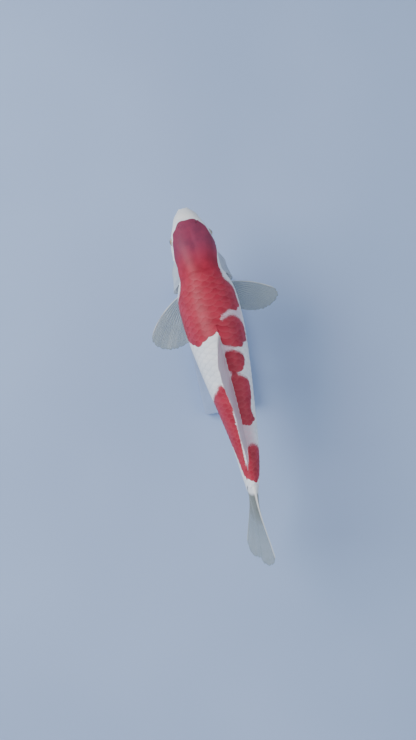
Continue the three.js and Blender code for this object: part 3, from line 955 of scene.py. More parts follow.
@dataclass
class Skin:
    """The one skin over head, trunk and tail stalk, feelers and gill flaps in it."""

    form: BodyForm
    spine: Spine
    pattern: Pattern
    cover: GillCover
    relief: HeadRelief
    columns: int = 300
    bare_inset: float = 0.15
    scaled_inset: float = 0.62
    nose_rows: int = 28
    face_rows: int = 48
    cheek_rows: int = 60
    fold_rows: int = 24
    shoulder_rows: int = 30
    face_start: float = 10.0
    face_end: float = 34.0
    fold_before: float = 3.5
    fold_behind: float = 6.0
    shoulder_end: float = 86.0
    trunk_step: float = 1.72
    # Rows deep in the gill flap's fold that get painted shade.
    fold_shade_rows: tuple[float, float, float, float] = (9.0, 13.0, 18.5, 20.5)
    cover_station: float = 62.0
    shoulder: tuple[float, float, float] = (16.0, 71.5, -24.0)
    hip: tuple[float, float, float] = (9.0, 128.0, -34.0)
    vent: float = 193.0
    fold: tuple[tuple[float, float], ...] = (
        (-3.5, 1.0), (-1.6, 1.0), (-0.3, 0.98), (0.12, 0.88), (-0.35, 0.78),
        (-1.8, 0.66), (-3.2, 0.42), (-3.9, 0.1), (-3.0, -0.05), (-0.6, -0.04), (2.6, 0.0), (6.0, 0.0),
    )
    barbels: tuple[Barbel, ...] = (
        Barbel("barbel lip", (5.6, 3.6, -8.2), (2.4, 2.4, -4.4), 0.55),
        Barbel("barbel corner", (8.2, 12.4, -11.4), (2.6, 4.6, -8.6), 0.75),
    )
    nodes: tuple[str, ...] = (
        "head", "lower_jaw", "gill_cover_left", "gill_cover_right", "trunk_front", "trunk_rear",
        "tail_stalk", "barbel_lip_left", "barbel_lip_right", "barbel_corner_left", "barbel_corner_right",
    )

    @property
    def fold_start(self) -> int:
        """Number of the first row of the flap's fold."""
        return self.nose_rows + self.face_rows + self.cheek_rows

    def flap(self) -> tuple[Array, Array]:
        """The section through the flap's free edge, as distances back and shares of its lift."""
        line = rounded(np.array(self.fold), 3, closed=False)
        steps = np.linspace(0, len(line) - 1, self.fold_rows)
        index = np.arange(len(line))
        return np.interp(steps, index, line[:, 0]), np.interp(steps, index, line[:, 1])

    def rows(self, degrees: Array) -> tuple[Array, Array, Array]:
        """Where every row of the skin crosses every column.

        Args:
            degrees: angle of each column at the gill cover, without its sign.

        Returns:
            Stations, lifts and a share from bare to scaled, each as rows of columns.
        """
        margin = self.cover.margin(degrees)
        standing = self.cover.standing(degrees)
        count = len(degrees)
        nose = self.face_start * (np.arange(self.nose_rows) / self.nose_rows) ** 2
        face = np.linspace(self.face_start, self.face_end, self.face_rows, endpoint=False)
        head = np.repeat(np.concatenate([nose, face])[:, None], count, axis=1)
        down = np.arange(self.cheek_rows)[:, None] / self.cheek_rows
        cheek = lerp(self.face_end, margin - self.fold_before, down)
        back, lift = self.flap()
        even = np.linspace(-self.fold_before, self.fold_behind, self.fold_rows)
        kept = smooth(standing, 0.0, 0.35)
        fold = margin + lerp(even[:, None], back[:, None], kept)
        down = np.arange(1, self.shoulder_rows)[:, None] / self.shoulder_rows
        shoulder = lerp(margin + self.fold_behind, self.shoulder_end, down)
        turn = np.radians([12, 25, 37, 48, 58, 67, 75, 81, 85, 88, 89.5, 90])
        end = self.form.body_length
        closing = end + (self.form.stalk_end - end) * np.sin(turn)
        rest = np.concatenate([np.arange(self.shoulder_end, end + 0.2, self.trunk_step), closing])
        trunk = np.repeat(rest[:, None], count, axis=1)
        at = np.vstack([head, cheek, fold, shoulder, trunk])
        lifts = np.zeros_like(at)
        start = self.fold_start
        lifts[start - self.cheek_rows:start] = self.cover.lift(cheek, degrees)
        lifts[start:start + self.fold_rows] = self.cover.flare * standing * lift[:, None]
        inner = np.arange(len(at)) - start - self.fold_rows * 0.55
        scaled = np.repeat(smooth(inner, 0.0, self.fold_rows * 0.3)[:, None], count, axis=1)
        return at, lifts, scaled

    def fin_roots(self, at: Array, angle: Array, points: Array) -> Array:
        """Heights of the flesh swelling round the roots of the fins and of the vent."""
        degrees = np.degrees(np.abs(angle))
        mirrored = onto_left(points)
        shoulder = np.linalg.norm(mirrored - np.array(self.shoulder), axis=1)
        hip = np.linalg.norm(mirrored - np.array(self.hip), axis=1)
        swell = 0.7 * bell(shoulder, 5.0) + 0.8 * bell(hip, 5.0)
        vent = -bell(at - self.vent, 1.6) * bell(degrees - 180.0, 6.0)
        lips = 0.6 * bell(np.hypot(at - self.vent, (degrees - 180.0) * 0.3) - 2.2, 1.0)
        return swell + self.form.fin_sheath(at, angle) + vent + lips

    def body(self) -> bpy.types.Mesh:
        """The closed skin itself, without the feelers."""
        shares = np.linspace(-1.0, 1.0, self.columns + 1)
        degrees = np.degrees(np.abs(self.form.angle_at(np.full(len(shares), self.cover_station), shares)))
        at_rows, lift_rows, scaled_rows = self.rows(degrees)
        mesh, across, along = sheet("koi_skin", self.columns, len(at_rows) - 1)
        column = np.rint(across * self.columns).astype(int)
        row = np.rint(along * (len(at_rows) - 1)).astype(int)
        at = at_rows[row, column]
        share = shares[column]
        scaled = scaled_rows[row, column]
        angle = self.form.angle_at(at, share)
        inset = lerp(self.bare_inset, self.scaled_inset, scaled) + smooth(at, 250.0, 257.0)
        plain = self.form.point(at, angle)
        relief = self.relief.height(at, angle, plain) * (1.0 - scaled) + self.fin_roots(at, angle, plain)
        relief *= np.minimum(self.form.opening(at) * 3.0, 1.0)
        points = self.form.point(at, angle, lift_rows[row, column] - inset)
        points += self.form.normal(at, angle) * relief[:, None]
        write_points(mesh, self.spine.lay(points))
        standing = self.cover.standing(degrees)[column]
        folded = row - self.fold_start
        # Painted shade deep in the gill fold and in the mouth's slit, stored as 'dark'.
        inside = window(folded, *self.fold_shade_rows) * np.minimum(standing * 3.0, 1.0)
        slit = bell(self.relief.mouth_gap(plain), 0.35) * fade(plain[:, 1], 11.0, 13.5)
        red = smooth(self.pattern.depth(at, share), -0.5, 0.5) * self.relief.clear_of_eyes(plain)
        write_values(
            mesh,
            red=red,
            # painted shade in the gill fold and the mouth's slit
            dark=np.clip(0.3 * inside + slit, 0.0, 1.0),
            # the gill covers' tint, partly painted shade
            cover=self.cover_tint(at, np.degrees(np.abs(angle))) * (folded < self.fold_shade_rows[0]),
            snout=fade(at, 8.0, 19.0),
            blush=self.pattern.blush(at, share),
            nape=smooth(at, 34.0, 62.0),
        )
        return mesh

    def cover_tint(self, at: Array, degrees: Array) -> Array:
        """How much a place shows the gill cover's tint: partly the thin bone's own grey, partly painted
        shade.
        """
        begin = self.cover.begin(degrees)
        return window(degrees, 60.0, 68.0, 146.0, 160.0) * smooth(at, begin - 2.0, begin + 3.0)

    def build(self) -> bpy.types.Object:
        """Joins skin and feelers and hides the nodes of flesh."""
        mesh = self.body()
        parts = [barbel.mesh(side, self.spine) for barbel in self.barbels for side in Side]
        with opened(mesh) as shape:
            bmesh.ops.remove_doubles(shape, verts=shape.verts, dist=WELD)
            for part in parts:
                shape.from_mesh(part)
                bpy.data.meshes.remove(part)
        mesh.shade_smooth()
        piece = add_piece(mesh, SkinFinish("koi skin"))
        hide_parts(*self.nodes)
        return piece


# ---------------------------------------------------------------- scales


SCALE_STEP = 4.0


class Place(NamedTuple):
    """Where one scale sits: station, distance to the next, row up from the lateral line, side."""

    at: float
    pitch: float
    row: int
    side: Side


@dataclass
class ScaleBatch:
    """The scales of one piece, each of their numbers spread over the points of a flat row.

    Args:
        flat: points of the flat row of scales.
        places: where its scales will sit.
        seed: what seeds their variation.
        size_spread: how much they differ in size, as a share.
        shift_spread: how far they stray along their row, in millimetres.
        tilt_spread: how far they are turned, as a share of their pitch.
    """

    flat: Array
    places: list[Place]
    seed: int
    size_spread: float = 0.018
    shift_spread: float = 0.06
    tilt_spread: float = 0.035

    def __post_init__(self) -> None:
        """Reads each point's place on its scale and draws each scale's variation."""
        count = len(self.places)
        self.which = np.arange(len(self.flat)) // (len(self.flat) // count)
        self.across = self.flat[:, 0] - SCALE_STEP * self.which
        self.level = self.flat[:, 1]
        self.upper = self.flat[:, 2]
        at, pitch, row, side = zip(*self.places)
        self.at = self.spread(at)
        self.pitch = self.spread(pitch)
        self.row = self.spread(row)
        self.sign = self.spread([one.value for one in side])
        chosen = np.random.default_rng(self.seed)
        self.size = self.spread(1.0 + chosen.normal(0.0, self.size_spread, count))
        self.shift = self.spread(chosen.normal(0.0, self.shift_spread, count))
        self.tilt = self.spread(chosen.normal(0.0, self.tilt_spread, count))
        self.tone = self.spread(chosen.random(count))

    def spread(self, values: Array | tuple | list) -> Array:
        """Each scale's number, for all of its points."""
        return np.asarray(values, dtype=float)[self.which]

    def middle(self, values: Array) -> Array:
        """Mean of a number over the shown middle part of each scale."""
        shown = (self.level > 0.6) & (np.abs(self.across) < 0.8)
        chosen = self.which[shown]
        count = len(self.places)
        return np.bincount(chosen, values[shown], count) / np.bincount(chosen, minlength=count)


@dataclass
class ScaleCoat:
    """The overlapping scales, in rows that follow the lateral line."""

    form: BodyForm
    spine: Spine
    pattern: Pattern
    cover: GillCover
    pitch_front: float = 5.5
    pitch_rear: float = 4.4
    rows_each_way: int = 7
    rows_at_tail: float = 5.0
    overlap: float = 1.78
    slope: float = 0.36
    thickness: float = 0.17
    inset: float = 0.6
    first_ring: float = 50.0
    last_ring: float = 262.0
    root_reach: float = 2.6
    throat_start: float = 53.0
    rear_end: float = 258.4
    rear_curve: float = 6.8
    last_station: float = 263.5
    unwrapped_length: float = 270.0
    levels: tuple[float, ...] = (0.0, 0.45, 0.66, 0.82, 0.93, 1.0)
    per_piece: int = 700
    seed: int = 5

    def template(self, count: int) -> bpy.types.Mesh:
        """A row of flat scales, one after another, to be laid over the body.

        Args:
            count: number of scales.

        Returns:
            A mesh in which scale number n lies from x = 4n - 1 to 4n + 1.
        """
        shape = bmesh.new()
        last = len(self.levels) - 1
        bmesh.ops.create_grid(shape, x_segments=6, y_segments=last, size=0.5)
        for vertex in shape.verts:
            across = vertex.co.x * 2.0
            level = self.levels[round((vertex.co.y + 0.5) * last)]
            rear = 1.0 - 0.32 * across**2 - 0.12 * across**4
            narrow = 1.0 - 0.35 * (1.0 - min(level / 0.5, 1.0))
            vertex.co = Vector((across * narrow, level * rear, 1.0))
        top = list(shape.faces)
        walls = bmesh.ops.extrude_face_region(shape, geom=top)
        lower = [part for part in walls["geom"] if isinstance(part, bmesh.types.BMVert)]
        bmesh.ops.translate(shape, verts=lower, vec=(0.0, 0.0, -1.0))
        under = [face for face in shape.faces if all(vertex.co.z < 0.5 for vertex in face.verts)]
        bmesh.ops.dissolve_faces(shape, faces=under)
        bmesh.ops.recalc_face_normals(shape, faces=shape.faces)
        mesh = take_mesh(shape, "scale")
        holder = bpy.data.objects.new("scale", mesh)
        bpy.context.scene.collection.objects.link(holder)
        array = holder.modifiers.new("row", "ARRAY")
        array.count = count
        array.use_relative_offset = False
        array.use_constant_offset = True
        array.constant_offset_displace = (SCALE_STEP, 0.0, 0.0)
        graph = bpy.context.evaluated_depsgraph_get()
        joined = bpy.data.meshes.new_from_object(holder.evaluated_get(graph))
        bpy.data.objects.remove(holder)
        bpy.data.meshes.remove(mesh)
        return joined

    def rings(self) -> Array:
        """Stations of the scales of one row, from nape to tail."""
        stations = [self.first_ring]
        while stations[-1] < self.last_ring:
            pitch = lerp(self.pitch_front, self.pitch_rear, smooth(stations[-1], 100.0, 240.0))
            stations.append(stations[-1] + float(pitch))
        return np.array(stations)

    def line_share(self, at: Array) -> Array:
        """Share of the half girth at which the lateral line runs."""
        droop = 4.0 * bell(at - 110.0, 55.0)
        return (91.0 + droop) / 180.0

    def rows_between(self, at: Array) -> Array:
        """Number of rows between the lateral line and either ridge of the body."""
        return lerp(float(self.rows_each_way), self.rows_at_tail, smooth(at, 112.0, 216.0))

    def row_share(self, at: Array, row: Array) -> Array:
        """Share of the half girth of a row at stations; rows count up from the lateral line."""
        line = self.line_share(at)
        up = line * (1.0 - row / self.rows_between(at))
        down = line - (1.0 - line) * row / self.rows_between(at)
        return np.where(row > 0, up, down)

    def places(self) -> list[Place]:
        """Where every scale of the coat sits."""
        rings = self.rings()
        found = []
        for row in range(-self.rows_each_way, self.rows_each_way + 1):
            offset = 0.5 * (row % 2)
            for ring in range(1, len(rings) - 2):
                index = ring + offset
                at = float(np.interp(index, np.arange(len(rings)), rings))
                pitch = float(np.interp(index + 0.5, np.arange(len(rings)), rings)) - at
                found += self.on_both_sides(at, pitch * 2.0, row)
        return found

    def on_both_sides(self, at: float, pitch: float, row: int) -> list[Place]:
        """The scales of one row at one station, if the coat reaches there.

        Args:
            at: station of the middle of the scale's shown part.
            pitch: distance to the next scale of the row.
            row: the row, counted up from the lateral line.

        Returns:
            The places of none, one or two scales.
        """
        between = float(self.rows_between(np.array(at)))
        if abs(row) > between + 0.001:
            return []
        on_ridge = abs(abs(row) - between) < 0.02
        share = float(self.row_share(np.array(at), np.array(float(row))))
        degrees = math.degrees(float(self.form.angle_at(np.array([at]), np.array([share]))[0]))
        root = at - pitch * (self.overlap - 0.5)
        front = float(self.cover.margin(np.array(degrees)))
        front = lerp(front, self.throat_start, float(smooth(degrees, 150.0, 168.0)))
        rear = self.rear_end - self.rear_curve * abs(share - 0.5) * 2.0
        if root < front - self.root_reach or at + pitch * 0.5 > rear + 1.0:
            return []
        sides = (Side.LEFT,) if on_ridge else tuple(Side)
        return [Place(at, pitch, row, side) for side in sides]

    def build(self) -> list[bpy.types.Object]:
        """Lays every scale over the skin and joins them into a few pieces."""
        places = sorted(self.places(), key=lambda place: place.at)
        pieces = []
        total = math.ceil(len(places) / self.per_piece)
        size = math.ceil(len(places) / total)
        for number in range(total):
            part = places[number * size:(number + 1) * size]
            pieces.append(self.lay(f"scales_{number + 1}", part, self.seed + number))
        return pieces

    def lay(self, name: str, places: list[Place], seed: int) -> bpy.types.Object:
        """Lays one piece of the coat.

        Args:
            name: name of the piece.
            places: where its scales sit.
            seed: what seeds their variation.

        Returns:
            The piece.
        """
        mesh = self.template(len(places))
        mesh.name = name
        batch = ScaleBatch(read_points(mesh), places, seed)
        at, share = self.stations(batch)
        held = np.clip(at, 0.0, self.last_station)
        angle = self.form.angle_at(held, share)
        points = self.form.point(held, angle, self.height(batch))
        points += self.form.normal(at, angle) * self.form.fin_sheath(at, angle)[:, None]
        write_points(mesh, self.spine.lay(points))
        close(mesh, weld=False)
        shade(mesh, 48)
        self.paint(mesh, batch, at, share)
        self.unwrap(mesh, batch)
        piece = add_piece(mesh, ScaleFinish("koi scales"))
        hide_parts("trunk_front", "trunk_rear", "tail_stalk")
        return piece

    def stations(self, batch: ScaleBatch) -> tuple[Array, Array]:
        """Stations of a batch's points, and their signed shares of the half girth."""
        row = batch.row
        length = batch.pitch * self.overlap * batch.size
        at = batch.at + batch.shift + (batch.level - 1.0) * length + 0.5 * batch.pitch
        at += batch.across * batch.tilt * batch.pitch
        centre = self.row_share(batch.at, row)
        gap = np.abs(self.row_share(batch.at, row - 0.5) - self.row_share(batch.at, row + 0.5))
        half = self.form.half_girth(batch.at) * gap * 0.99 * batch.size
        sideways = batch.across * half / self.form.half_girth(at)
        drift = self.row_share(at, row) - centre
        share = centre + drift + sideways
        on_belly = (np.abs(row) > self.rows_between(at) - 0.9) & (row < 0)
        share = np.where(on_belly, np.minimum(share, 2.0 - share), share)
        on_back = np.abs(centre) < 1e-6
        signed = np.where(share < 0, 0.0, share * batch.sign)
        return at, np.where(on_back, sideways, signed)

    def height(self, batch: ScaleBatch) -> Array:
        """Heights of a batch's points over the body, a pore's tube on the lateral line among them."""
        level = batch.level
        rise = self.slope * (level * self.overlap * batch.size)
        dome = 0.10 * (1.0 - batch.across**2) * smooth(level, 0.2, 0.7)
        tube = 0.16 * bell(batch.across, 0.2) * bell(level - 0.72, 0.16) * (batch.row == 0)
        height = -self.inset + rise + batch.upper * (self.thickness + dome + tube)
        return height - 0.10 * smooth(level, 0.9, 1.0) * batch.upper

    def paint(self, mesh: bpy.types.Mesh, batch: ScaleBatch, at: Array, share: Array) -> None:
        """Stores how red, how worn and how near its edge every point of the coat is.

        Args:
            mesh: the piece's mesh.
            batch: its scales.
            at: stations of its points.
            share: their signed shares of the half girth.
        """
        own = self.pattern.depth(at, share)
        mid_at = batch.middle(at)
        mid_share = batch.middle(share)
        middle = self.pattern.depth(mid_at, mid_share)
        behind = self.pattern.depth(mid_at + 1.5, mid_share)
        rear_edge = batch.spread(smooth(middle - behind, 0.2, 1.2))
        front_edge = batch.spread(smooth(behind - middle, 0.2, 1.2))
        depth = lerp(own, batch.spread(middle), lerp(0.05, 0.72, rear_edge))
        width = lerp(1.7, 0.45, rear_edge) + 5.0 * front_edge
        write_values(
            mesh,
            red=smooth(depth / width, -1.0, 1.0),
            tone=batch.tone,
            blush=self.pattern.blush(at, share),
            rim=smooth(batch.level + 0.35 * batch.across**2, 0.72, 1.02),
            pore=(batch.row == 0) * bell(batch.across, 0.16) * bell(batch.level - 0.86, 0.08),
        )

    def unwrap(self, mesh: bpy.types.Mesh, batch: ScaleBatch) -> None:
        """Gives each scale a small patch at its root's place on the unwrapped skin."""
        layer = mesh.uv_layers.new(name="OFBake")
        share = self.row_share(batch.at, batch.row) * batch.sign
        u = (batch.at - batch.pitch) / self.unwrapped_length + (batch.level - 0.5) * 0.003
        v = 0.5 + 0.49 * share + batch.across * 0.0015
        corner = np.empty(len(mesh.loops), dtype=np.int32)
        mesh.loops.foreach_get("vertex_index", corner)
        pairs = np.stack([u[corner], v[corner]], axis=1)
        layer.uv.foreach_set("vector", np.ascontiguousarray(pairs, dtype=np.float32).ravel())


# ---------------------------------------------------------------- fins


@dataclass
class Fin:
    """A thin fin on branching rays; each kind gives its own surface."""

    form: BodyForm
    spine: Spine
    name: str
    nodes: tuple[str, ...]
    rays: int = 12
    columns: int = 240
    rows: int = 56
    root_thickness: float = 2.4
    web_thickness: float = 0.5
    ray_height: float = 0.22
    scallop: float = 0.010
    milk: float = 0.0
    # How much painted shade darkens the web's middle and foot; only the tail has any.
    shade: float = 0.0
    solid_root: float = 0.22
    ripple: float = 0.5
    step: float = 0.004
    seed: int = 1

    def surface(self, u: Array, v: Array) -> Array:
        """Points of the fin's middle surface in the straight fish.

        Args:
            u: shares from the leading to the trailing edge.
            v: shares from the root to the tip.

        Returns:
            Rows of x, y and z in millimetres.
        """
        raise NotImplementedError

    def stiff(self, u: Array) -> Array:
        """Extra thickness of the leading rays."""
        return 0.30 * fade(self.from_lead(u), 0.0, 0.045)

    def phase(self, u: Array) -> Array:
        """Number of rays passed from the leading edge; whole numbers are on a ray."""
        return u * self.rays - 0.5 + 0.05 * np.sin(u * 31.0 + self.seed)

    def ridges(self, u: Array, v: Array) -> Array:
        """Strength of the rays, which split twice on their way to the tip."""
        phase = self.phase(u)
        off = phase - np.rint(phase)
        once = np.abs(off) - 0.24 * smooth(v, 0.30, 0.62)
        twice = np.abs(once) - 0.115 * smooth(v, 0.62, 0.95)
        return bell(twice, lerp(0.21, 0.055, np.clip(v, 0.0, 1.0)))

    def from_lead(self, u: Array) -> Array:
        """Share of the way from the nearest leading edge."""
        return u

    def bulk(self, u: Array) -> Array:
        """Share of the root's thickness across the fin."""
        return np.ones_like(u)

    def margin(self, u: Array) -> Array:
        """Reach of the web at each place along the margin, notched between the rays."""
        notch = 0.5 - 0.5 * np.cos(2.0 * np.pi * (self.phase(u) - 0.5))
        ragged = np.sin(u * 47.0 + self.seed) + 0.6 * np.sin(u * 83.0 + 2.0 * self.seed)
        return 1.0 - self.scallop * (1.0 - notch) - 0.006 * ragged

    def outward(self, u: Array, v: Array) -> Array:
        """Directions square to the middle surface."""
        low_u, high_u = np.clip(u - self.step, 0.0, 1.0), np.clip(u + self.step, 0.0, 1.0)
        low_v, high_v = np.clip(v - self.step, 0.01, 1.0), np.clip(v + self.step, 0.02, 1.0)
        inner = np.maximum(v, 0.02)
        by_u = self.surface(high_u, inner) - self.surface(low_u, inner)
        by_v = self.surface(u, high_v) - self.surface(u, low_v)
        out = np.cross(by_u, by_v)
        return out / np.maximum(np.linalg.norm(out, axis=1, keepdims=True), 1e-9)

    def half_thickness(self, u: Array, v: Array, level: Array) -> Array:
        """Half the thickness of web and rays, rounded off at both edges and the tip.

        Args:
            u: shares from the leading to the trailing edge.
            v: shares from the root to the tip of the longest web.
            level: shares from the root to the margin.

        Returns:
            Half thicknesses in millimetres.
        """
        root = self.root_thickness * self.bulk(u)
        web = lerp(root, self.web_thickness, 1.0 - (1.0 - v) ** 3) / 2.0
        tall = self.ray_height * lerp(1.0, 0.35, v) * (self.ridges(u, v) + self.stiff(u) / 0.3)
        edge = np.sqrt(np.clip(1.0 - np.abs(2.0 * u - 1.0) ** 24, 0.0, 1.0))
        thin = np.sqrt(np.clip(1.0 - level**30, 0.0, 1.0))
        return (web + tall) * edge * thin

    def wave(self, u: Array, v: Array) -> Array:
        """Soft folds of the web, which grow towards the tip."""
        broad = self.ripple * v**1.5 * np.sin(2.0 * np.pi * (u * 2.3 + 0.3 * v) + self.seed)
        fine = 0.2 * self.ripple * v**2 * np.sin(2.0 * np.pi * u * self.rays / 2.0 + self.seed)
        return broad + fine

    def build(self) -> bpy.types.Object:
        """Makes the closed two-sided fin."""
        mesh, across, along = sheet(self.name, 2 * self.columns, self.rows + 1)
        upper = across < 0.5
        u = np.where(upper, 2.0 * across, 2.0 - 2.0 * across)
        level = np.clip((along * (self.rows + 1) - 1.0) / self.rows, 0.0, 1.0)
        v = level * lerp(1.0, self.margin(u), smooth(level, 0.35, 1.0))
        ends = (along < 1e-6) | (level > 1.0 - 1e-6) | (u < 1e-6) | (u > 1.0 - 1e-6)
        half = np.where(ends, 0.0, self.half_thickness(u, v, level)) * np.where(upper, 1.0, -1.0)
        points = self.surface(u, v) + self.outward(u, v) * (self.wave(u, v) + half)[:, None]
        write_points(mesh, self.spine.lay(points))
        write_values(
            mesh,
            ray=self.ridges(u, v) * smooth(v, 0.02, 0.12),
            along=level,
            root=fade(level, 0.02, self.solid_root),
            across=self.from_lead(u),
            milk=np.full(len(u), self.milk),
            # how much painted shade the fin carries
            shade=np.full(len(u), self.shade),
        )
        close(mesh)
        piece = add_piece(mesh, FinFinish("koi fins"))
        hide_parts(*self.nodes)
        return piece


@dataclass
class PectoralFin(Fin):
    """A paddle behind the gill cover; lead and trail are its edges' angles from the tail."""

    side: Side = Side.LEFT
    root_front: tuple[float, float, float] = (17.2, 70.0, -21.5)
    root_rear: tuple[float, float, float] = (13.4, 76.0, -28.0)
    lead: float = 70.0
    trail: float = 11.0
    curl: float = 17.0
    droop: float = 9.0
    length: tuple[float, float, float] = (46.0, 55.5, 37.0)

    def surface(self, u: Array, v: Array) -> Array:
        """Points of the paddle; the arguments and result are the base class's."""
        turn = np.radians(lerp(self.lead, self.trail, u) - self.curl * v * (1.0 - u))
        reach = through_three(self.length, np.clip(u, 0.0, 1.0) ** 0.6) * v
        root = lerp(np.array(self.root_front), np.array(self.root_rear), u[:, None])
        droop = math.radians(self.droop)
        x = root[:, 0] + reach * np.sin(turn) * math.cos(droop)
        y = root[:, 1] + reach * np.cos(turn) * np.cos(droop * np.abs(np.sin(turn)))
        z = root[:, 2] - reach * math.sin(droop) * (0.35 + 0.65 * np.sin(turn))
        return np.stack([x * self.side.value, y, z], axis=1)


@dataclass
class MedianFin(Fin):
    """A fin on the ridge of the back or of the belly."""

    start: float = 117.0
    end: float = 213.0
    up: int = 1
    rise: tuple[float, float, float] = (46.0, 26.0, 13.0)
    length: tuple[float, float, float] = (30.0, 27.0, 24.0)
    lean: tuple[float, float] = (24.0, 15.0)
    sway: float = 1.6
    first_spine: float = 0.5
    depth: float = 1.2

    def stiff(self, u: Array) -> Array:
        """Extra thickness of the short stout spines that lead the fin."""
        return 0.55 * fade(u, 0.0, 0.05)

    def surface(self, u: Array, v: Array) -> Array:
        """Points of the fin; the arguments and result are the base class's."""
        at = lerp(self.start, self.end, u)
        ridge = np.zeros_like(at) if self.up > 0 else np.full_like(at, math.pi)
        base = self.form.point(at, ridge, -self.depth)
        angle = np.radians(through_three(self.rise, u))
        spines = lerp(self.first_spine, 1.0, smooth(u, 0.0, 0.07))
        reach = through_three(self.length, u) * spines * v + self.depth * v
        height = reach * np.sin(angle)
        lean = np.radians(lerp(self.lean[0], self.lean[1], smooth(u, 0.0, 0.45)))
        x = base[:, 0] + np.sin(lean) * height + self.sway * v * smooth(u, 0.0, 0.3)
        y = base[:, 1] + reach * np.cos(angle)
        return np.stack([x, y, base[:, 2] + self.up * height], axis=1)


@dataclass
class TailFin(Fin):
    """The forked tail fin, one fan of rays that starts over the end of the flesh."""

    root: float = 250.5
    flesh_end: float = 257.0
    root_half_height: float = 15.2
    upper_tip: float = 323.0
    lower_tip: float = 322.0
    tip_half_height: float = 32.0
    fork: float = 315.5
    upper_rounding: float = 0.155
    lower_rounding: float = 0.205
    bow: float = 2.6
    lean_at_root: float = 4.0
    upper_lean: float = 20.5
    lower_lean: float = 19.5

    def from_lead(self, u: Array) -> Array:
        """Share of the way from the nearest leading edge to the fork."""
        return 1.0 - np.abs(1.0 - 2.0 * u)

    def bulk(self, u: Array) -> Array:
        """Share of the root's thickness, rounded as the flesh under it is."""
        return np.sqrt(1.0 - 0.92 * (1.0 - self.from_lead(u)) ** 2)

    def surface(self, u: Array, v: Array) -> Array:
        """Points of the fan; the arguments and result are the base class's."""
        outer = 1.0 - self.from_lead(u)
        up = np.where(u < 0.5, 1.0, -1.0)
        below = smooth(u, 0.25, 0.75)
        tip = lerp(self.upper_tip, self.lower_tip, below)
        ray = lerp(self.fork, tip, outer**0.5) - self.root
        rounding = lerp(self.upper_rounding, self.lower_rounding, below)
        at = self.root + ray * (1.0 - rounding * outer**4) * v
        height = lerp(self.root_half_height * outer, self.tip_half_height * outer**0.9, v)
        height += self.bow * np.sin(np.pi * v) * outer
        tip_lean = lerp(self.upper_lean, self.lower_lean, below)
        lean = np.radians(lerp(self.lean_at_root, tip_lean, smooth(at, self.flesh_end, tip)))
        lean *= outer**0.6
        return np.stack([-up * height * np.sin(lean), at, up * height * np.cos(lean)], axis=1)


@dataclass
class Fins:
    """All the fins."""

    form: BodyForm
    spine: Spine

    def all(self) -> list[Fin]:
        """Every fin, paired ones on both sides."""
        kit = (self.form, self.spine)
        pelvic = [
            PectoralFin(
                *kit, f"pelvic_{side.word}", (f"pelvic_fin_{side.word}",), rays=9, columns=160,
                rows=40, root_thickness=2.0, milk=0.3, seed=6 + side.value, side=side,
                root_front=(10.6, 125.0, -33.0), root_rear=(7.0, 131.5, -35.0), lead=25.0,
                trail=-4.0, curl=9.0, droop=28.0, length=(31.0, 38.0, 25.0), ripple=0.3,
            )
            for side in Side
        ]
        return [
            PectoralFin(
                *kit, "pectoral_left", ("pectoral_fin_left",), rays=15, columns=300, rows=64, seed=1,
            ),
            PectoralFin(
                *kit, "pectoral_right", ("pectoral_fin_right",), rays=15, columns=300, rows=64, seed=4,
                side=Side.RIGHT, lead=86.0, trail=33.0, curl=15.0, length=(46.0, 53.0, 24.0),
            ),
            *pelvic,
            MedianFin(
                *kit, "dorsal", ("dorsal_fin",), rays=20, columns=340, rows=48, milk=0.85, seed=9,
            ),
            MedianFin(
                *kit, "anal", ("anal_fin",), rays=7, columns=130, rows=40, root_thickness=2.0, seed=11,
                milk=0.5, start=197.0, end=212.0, up=-1, rise=(50.0, 33.0, 24.0),
                length=(32.0, 28.0, 18.0), lean=(0.0, 0.0), sway=0.0, ripple=0.3,
            ),
            # The tail's web and foot are darkened with painted shade.
            TailFin(
                *kit, "tail", ("tail_fin_upper", "tail_fin_lower"), rays=20, columns=400, rows=72,
                root_thickness=11.0, shade=1.0, solid_root=0.32, seed=13,
            ),
        ]

    def build(self) -> list[bpy.types.Object]:
        """Makes every fin."""
        return [fin.build() for fin in self.all()]


# ---------------------------------------------------------------- eyes


@dataclass
class Eye:
    """One eye: a ball with a clear bulge over a dark pupil and a pale iris."""

    spine: Spine
    relief: HeadRelief
    side: Side
    iris: float = 3.9
    rear_radial: float = 9.0

    def build(self) -> bpy.types.Object:
        """Makes the ball and sets it in its socket."""
        shape = bmesh.new()
        bmesh.ops.create_uvsphere(shape, u_segments=64, v_segments=48, radius=self.relief.eye_radius)
        mesh = take_mesh(shape, f"koi_eye_{self.side.word}")
        points = read_points(mesh)
        r = np.hypot(points[:, 0], points[:, 1])
        front = points[:, 2] > 0
        bulge = 0.35 * fade(r, 0.0, self.iris) - 0.12 * bell(r - self.iris - 0.1, 0.35)
        points[:, 2] += np.where(front, bulge, 0.0)
        axis = self.relief.axis()
        across = np.cross((0.0, 1.0, 0.0), axis)
        across /= np.linalg.norm(across)
        up = np.cross(axis, across)
        turned = points @ np.stack([across, up, axis])
        turned += np.array(self.relief.eye_centre)
        turned[:, 0] *= self.side.value
        write_points(mesh, self.spine.lay(turned))
        write_values(mesh, radial=np.where(front, r, self.rear_radial))
        close(mesh)
        piece = add_piece(mesh, EyeFinish("koi eye"))
        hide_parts(f"eye_{self.side.word}")
        return piece


# ---------------------------------------------------------------- stand


